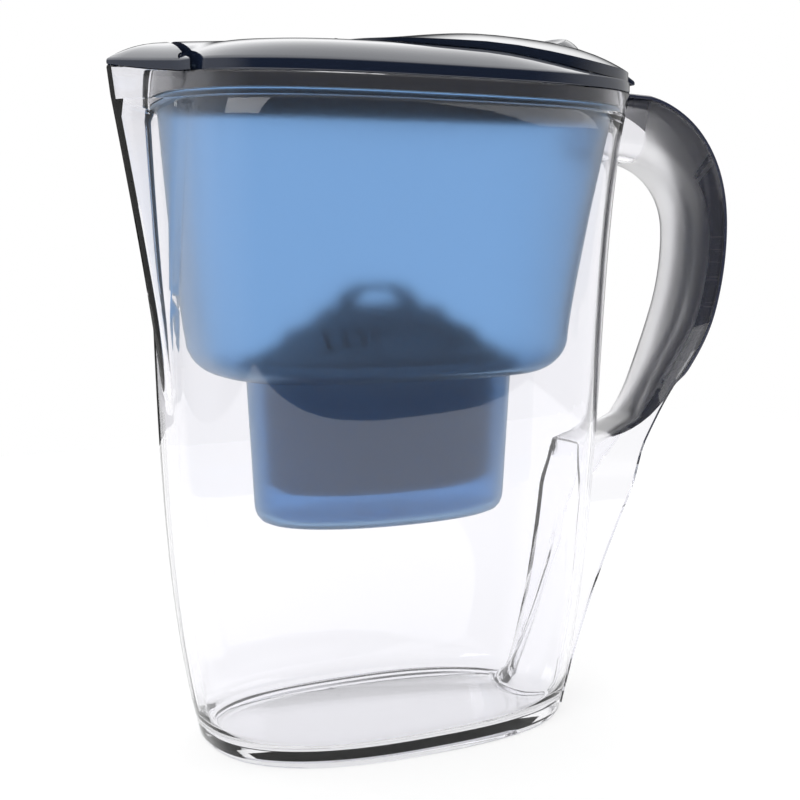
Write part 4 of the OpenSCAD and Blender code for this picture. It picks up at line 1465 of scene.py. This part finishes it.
@dataclass
class Studio:
    """Camera, floor, sky and lamps."""

    eye: Point = (-255.3, -498.5, 192.0)
    aim: Point = (8.47, 0.0, 126.72)
    lens: float = 65.25
    floor_white: float = 0.97
    floor_glow: float = 0.72
    floor_size: float = 1.5

    def camera(self) -> None:
        """Sets the camera at the photograph's angle."""
        cam = bpy.data.cameras.new("view")
        cam.lens, cam.sensor_width, cam.sensor_fit = self.lens, 36.0, "HORIZONTAL"
        cam.clip_start = 0.01
        obj = bpy.data.objects.new("view", cam)
        bpy.context.scene.collection.objects.link(obj)
        eye, aim = (Vector(((p[0] - FORM.shift) * MM, p[1] * MM, p[2] * MM)) for p in (self.eye, self.aim))
        obj.location = eye
        obj.rotation_euler = (aim - eye).to_track_quat("-Z", "Y").to_euler()
        bpy.context.scene.camera = obj

    def floor(self) -> None:
        """Lays a plain pale floor."""
        Bench.clear()
        bpy.ops.mesh.primitive_plane_add(size=self.floor_size)
        plane = bpy.context.object
        plane.name = "floor"
        mat = bpy.data.materials.new("floor_white")
        mat.use_nodes = True
        shader = mat.node_tree.nodes["Principled BSDF"]
        shader.inputs["Base Color"].default_value = (self.floor_white,) * 3 + (1,)
        shader.inputs["Roughness"].default_value = 0.7
        shader.inputs["Specular IOR Level"].default_value = 0.1
        nodes, links = mat.node_tree.nodes, mat.node_tree.links
        ray, seen = nodes.new("ShaderNodeLightPath"), nodes.new("ShaderNodeMath")
        seen.operation = "MAXIMUM"
        share = nodes.new("ShaderNodeMath")
        share.operation = "MULTIPLY"
        share.inputs[1].default_value = self.floor_glow
        glow, blend = nodes.new("ShaderNodeEmission"), nodes.new("ShaderNodeMixShader")
        glow.inputs["Strength"].default_value = 1.0
        links.new(ray.outputs["Is Camera Ray"], seen.inputs[0])
        links.new(ray.outputs["Is Transmission Ray"], seen.inputs[1])
        links.new(seen.outputs["Value"], share.inputs[0])
        links.new(share.outputs["Value"], blend.inputs["Fac"])
        links.new(shader.outputs["BSDF"], blend.inputs[1])
        links.new(glow.outputs["Emission"], blend.inputs[2])
        links.new(blend.outputs["Shader"], nodes["Material Output"].inputs["Surface"])
        plane.data.materials.append(mat)

    def sky(self) -> None:
        """Lights the scene with a soft studio dome, white to the camera."""
        world = bpy.data.worlds.new("studio")
        bpy.context.scene.world = world
        world.use_nodes = True
        nodes, links = world.node_tree.nodes, world.node_tree.links
        back = nodes["Background"]
        coords, split = nodes.new("ShaderNodeTexCoord"), nodes.new("ShaderNodeSeparateXYZ")
        links.new(coords.outputs["Generated"], split.inputs["Vector"])
        ray = nodes.new("ShaderNodeLightPath")

        def slope(axis: str, low: float, high: float, start: float, end: float) -> bpy.types.NodeSocket:
            """Brightness that runs from start to end along one axis."""
            ramp = nodes.new("ShaderNodeMapRange")
            ramp.interpolation_type = "SMOOTHSTEP"
            for label, value in (("From Min", low), ("From Max", high), ("To Min", start), ("To Max", end)):
                ramp.inputs[label].default_value = value
            links.new(split.outputs[axis], ramp.inputs["Value"])
            return ramp.outputs["Result"]

        def choose(kind: str, other: bpy.types.NodeSocket, own: bpy.types.NodeSocket | float) -> bpy.types.NodeSocket:
            """Gives rays of one kind a brightness of their own."""
            pick = nodes.new("ShaderNodeMix")
            pick.data_type = "FLOAT"
            links.new(ray.outputs[kind], pick.inputs["Factor"])
            links.new(other, pick.inputs["A"])
            if isinstance(own, float):
                pick.inputs["B"].default_value = own
            else:
                links.new(own, pick.inputs["B"])
            return pick.outputs["Result"]

        def brighter(one: bpy.types.NodeSocket, other: bpy.types.NodeSocket) -> bpy.types.NodeSocket:
            """Keeps the brighter of two."""
            top = nodes.new("ShaderNodeMath")
            top.operation = "MAXIMUM"
            links.new(one, top.inputs[0])
            links.new(other, top.inputs[1])
            return top.outputs["Value"]

        shine = brighter(slope("Z", 0.24, 0.6, 0.04, 2.4),
                         brighter(slope("X", -0.95, -0.5, 0.7, 0.0), slope("X", 0.6, 0.95, 0.0, 0.7)))
        light = slope("Y", -1.0, 1.0, 0.3, 1.72)
        light = choose("Is Glossy Ray", light, shine)
        light = choose("Is Transmission Ray", light, slope("Y", -0.4, 0.1, 0.35, 1.0))
        light = choose("Is Camera Ray", light, 1.0)
        links.new(light, back.inputs["Strength"])
        back.inputs["Color"].default_value = (1, 1, 1, 1)

    def lamp(self, name: str, place: Point, size: tuple[float, float], power: float) -> None:
        """Hangs a soft box that faces the pitcher.

        Args:
            name: name of the lamp.
            place: its place in metres.
            size: its width and height in metres.
            power: its power in watts.
        """
        light = bpy.data.lights.new(name, "AREA")
        light.shape, light.size, light.size_y, light.energy = "RECTANGLE", size[0], size[1], power
        obj = bpy.data.objects.new(name, light)
        bpy.context.scene.collection.objects.link(obj)
        obj.location = place
        obj.visible_glossy = False
        obj.rotation_euler = (Vector((0, 0, 0.14)) - Vector(place)).to_track_quat("-Z", "Y").to_euler()

    def build(self) -> None:
        """Sets up everything round the pitcher."""
        self.camera()
        self.floor()
        self.sky()
        self.lamp("key", (-0.9, -0.7, 1.1), (0.8, 0.8), 9)
        self.lamp("fill", (1.1, -0.6, 0.9), (0.9, 0.9), 5)
        bpy.context.scene.view_settings.view_transform = "Standard"


def main() -> None:
    """Builds the whole scene."""
    logging.basicConfig(level=logging.INFO, format="%(name)s: %(message)s")
    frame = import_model()
    Bench.clear()
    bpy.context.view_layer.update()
    Studio().build()
    palette = Palette()
    ClearJug(palette).build()
    Grip(palette).build()
    Hopper(palette).build()
    Cartridge(palette).build(frame["nodes"])
    Lid(palette).build()
    Bench.clear()


if __name__ == "__main__":
    main()
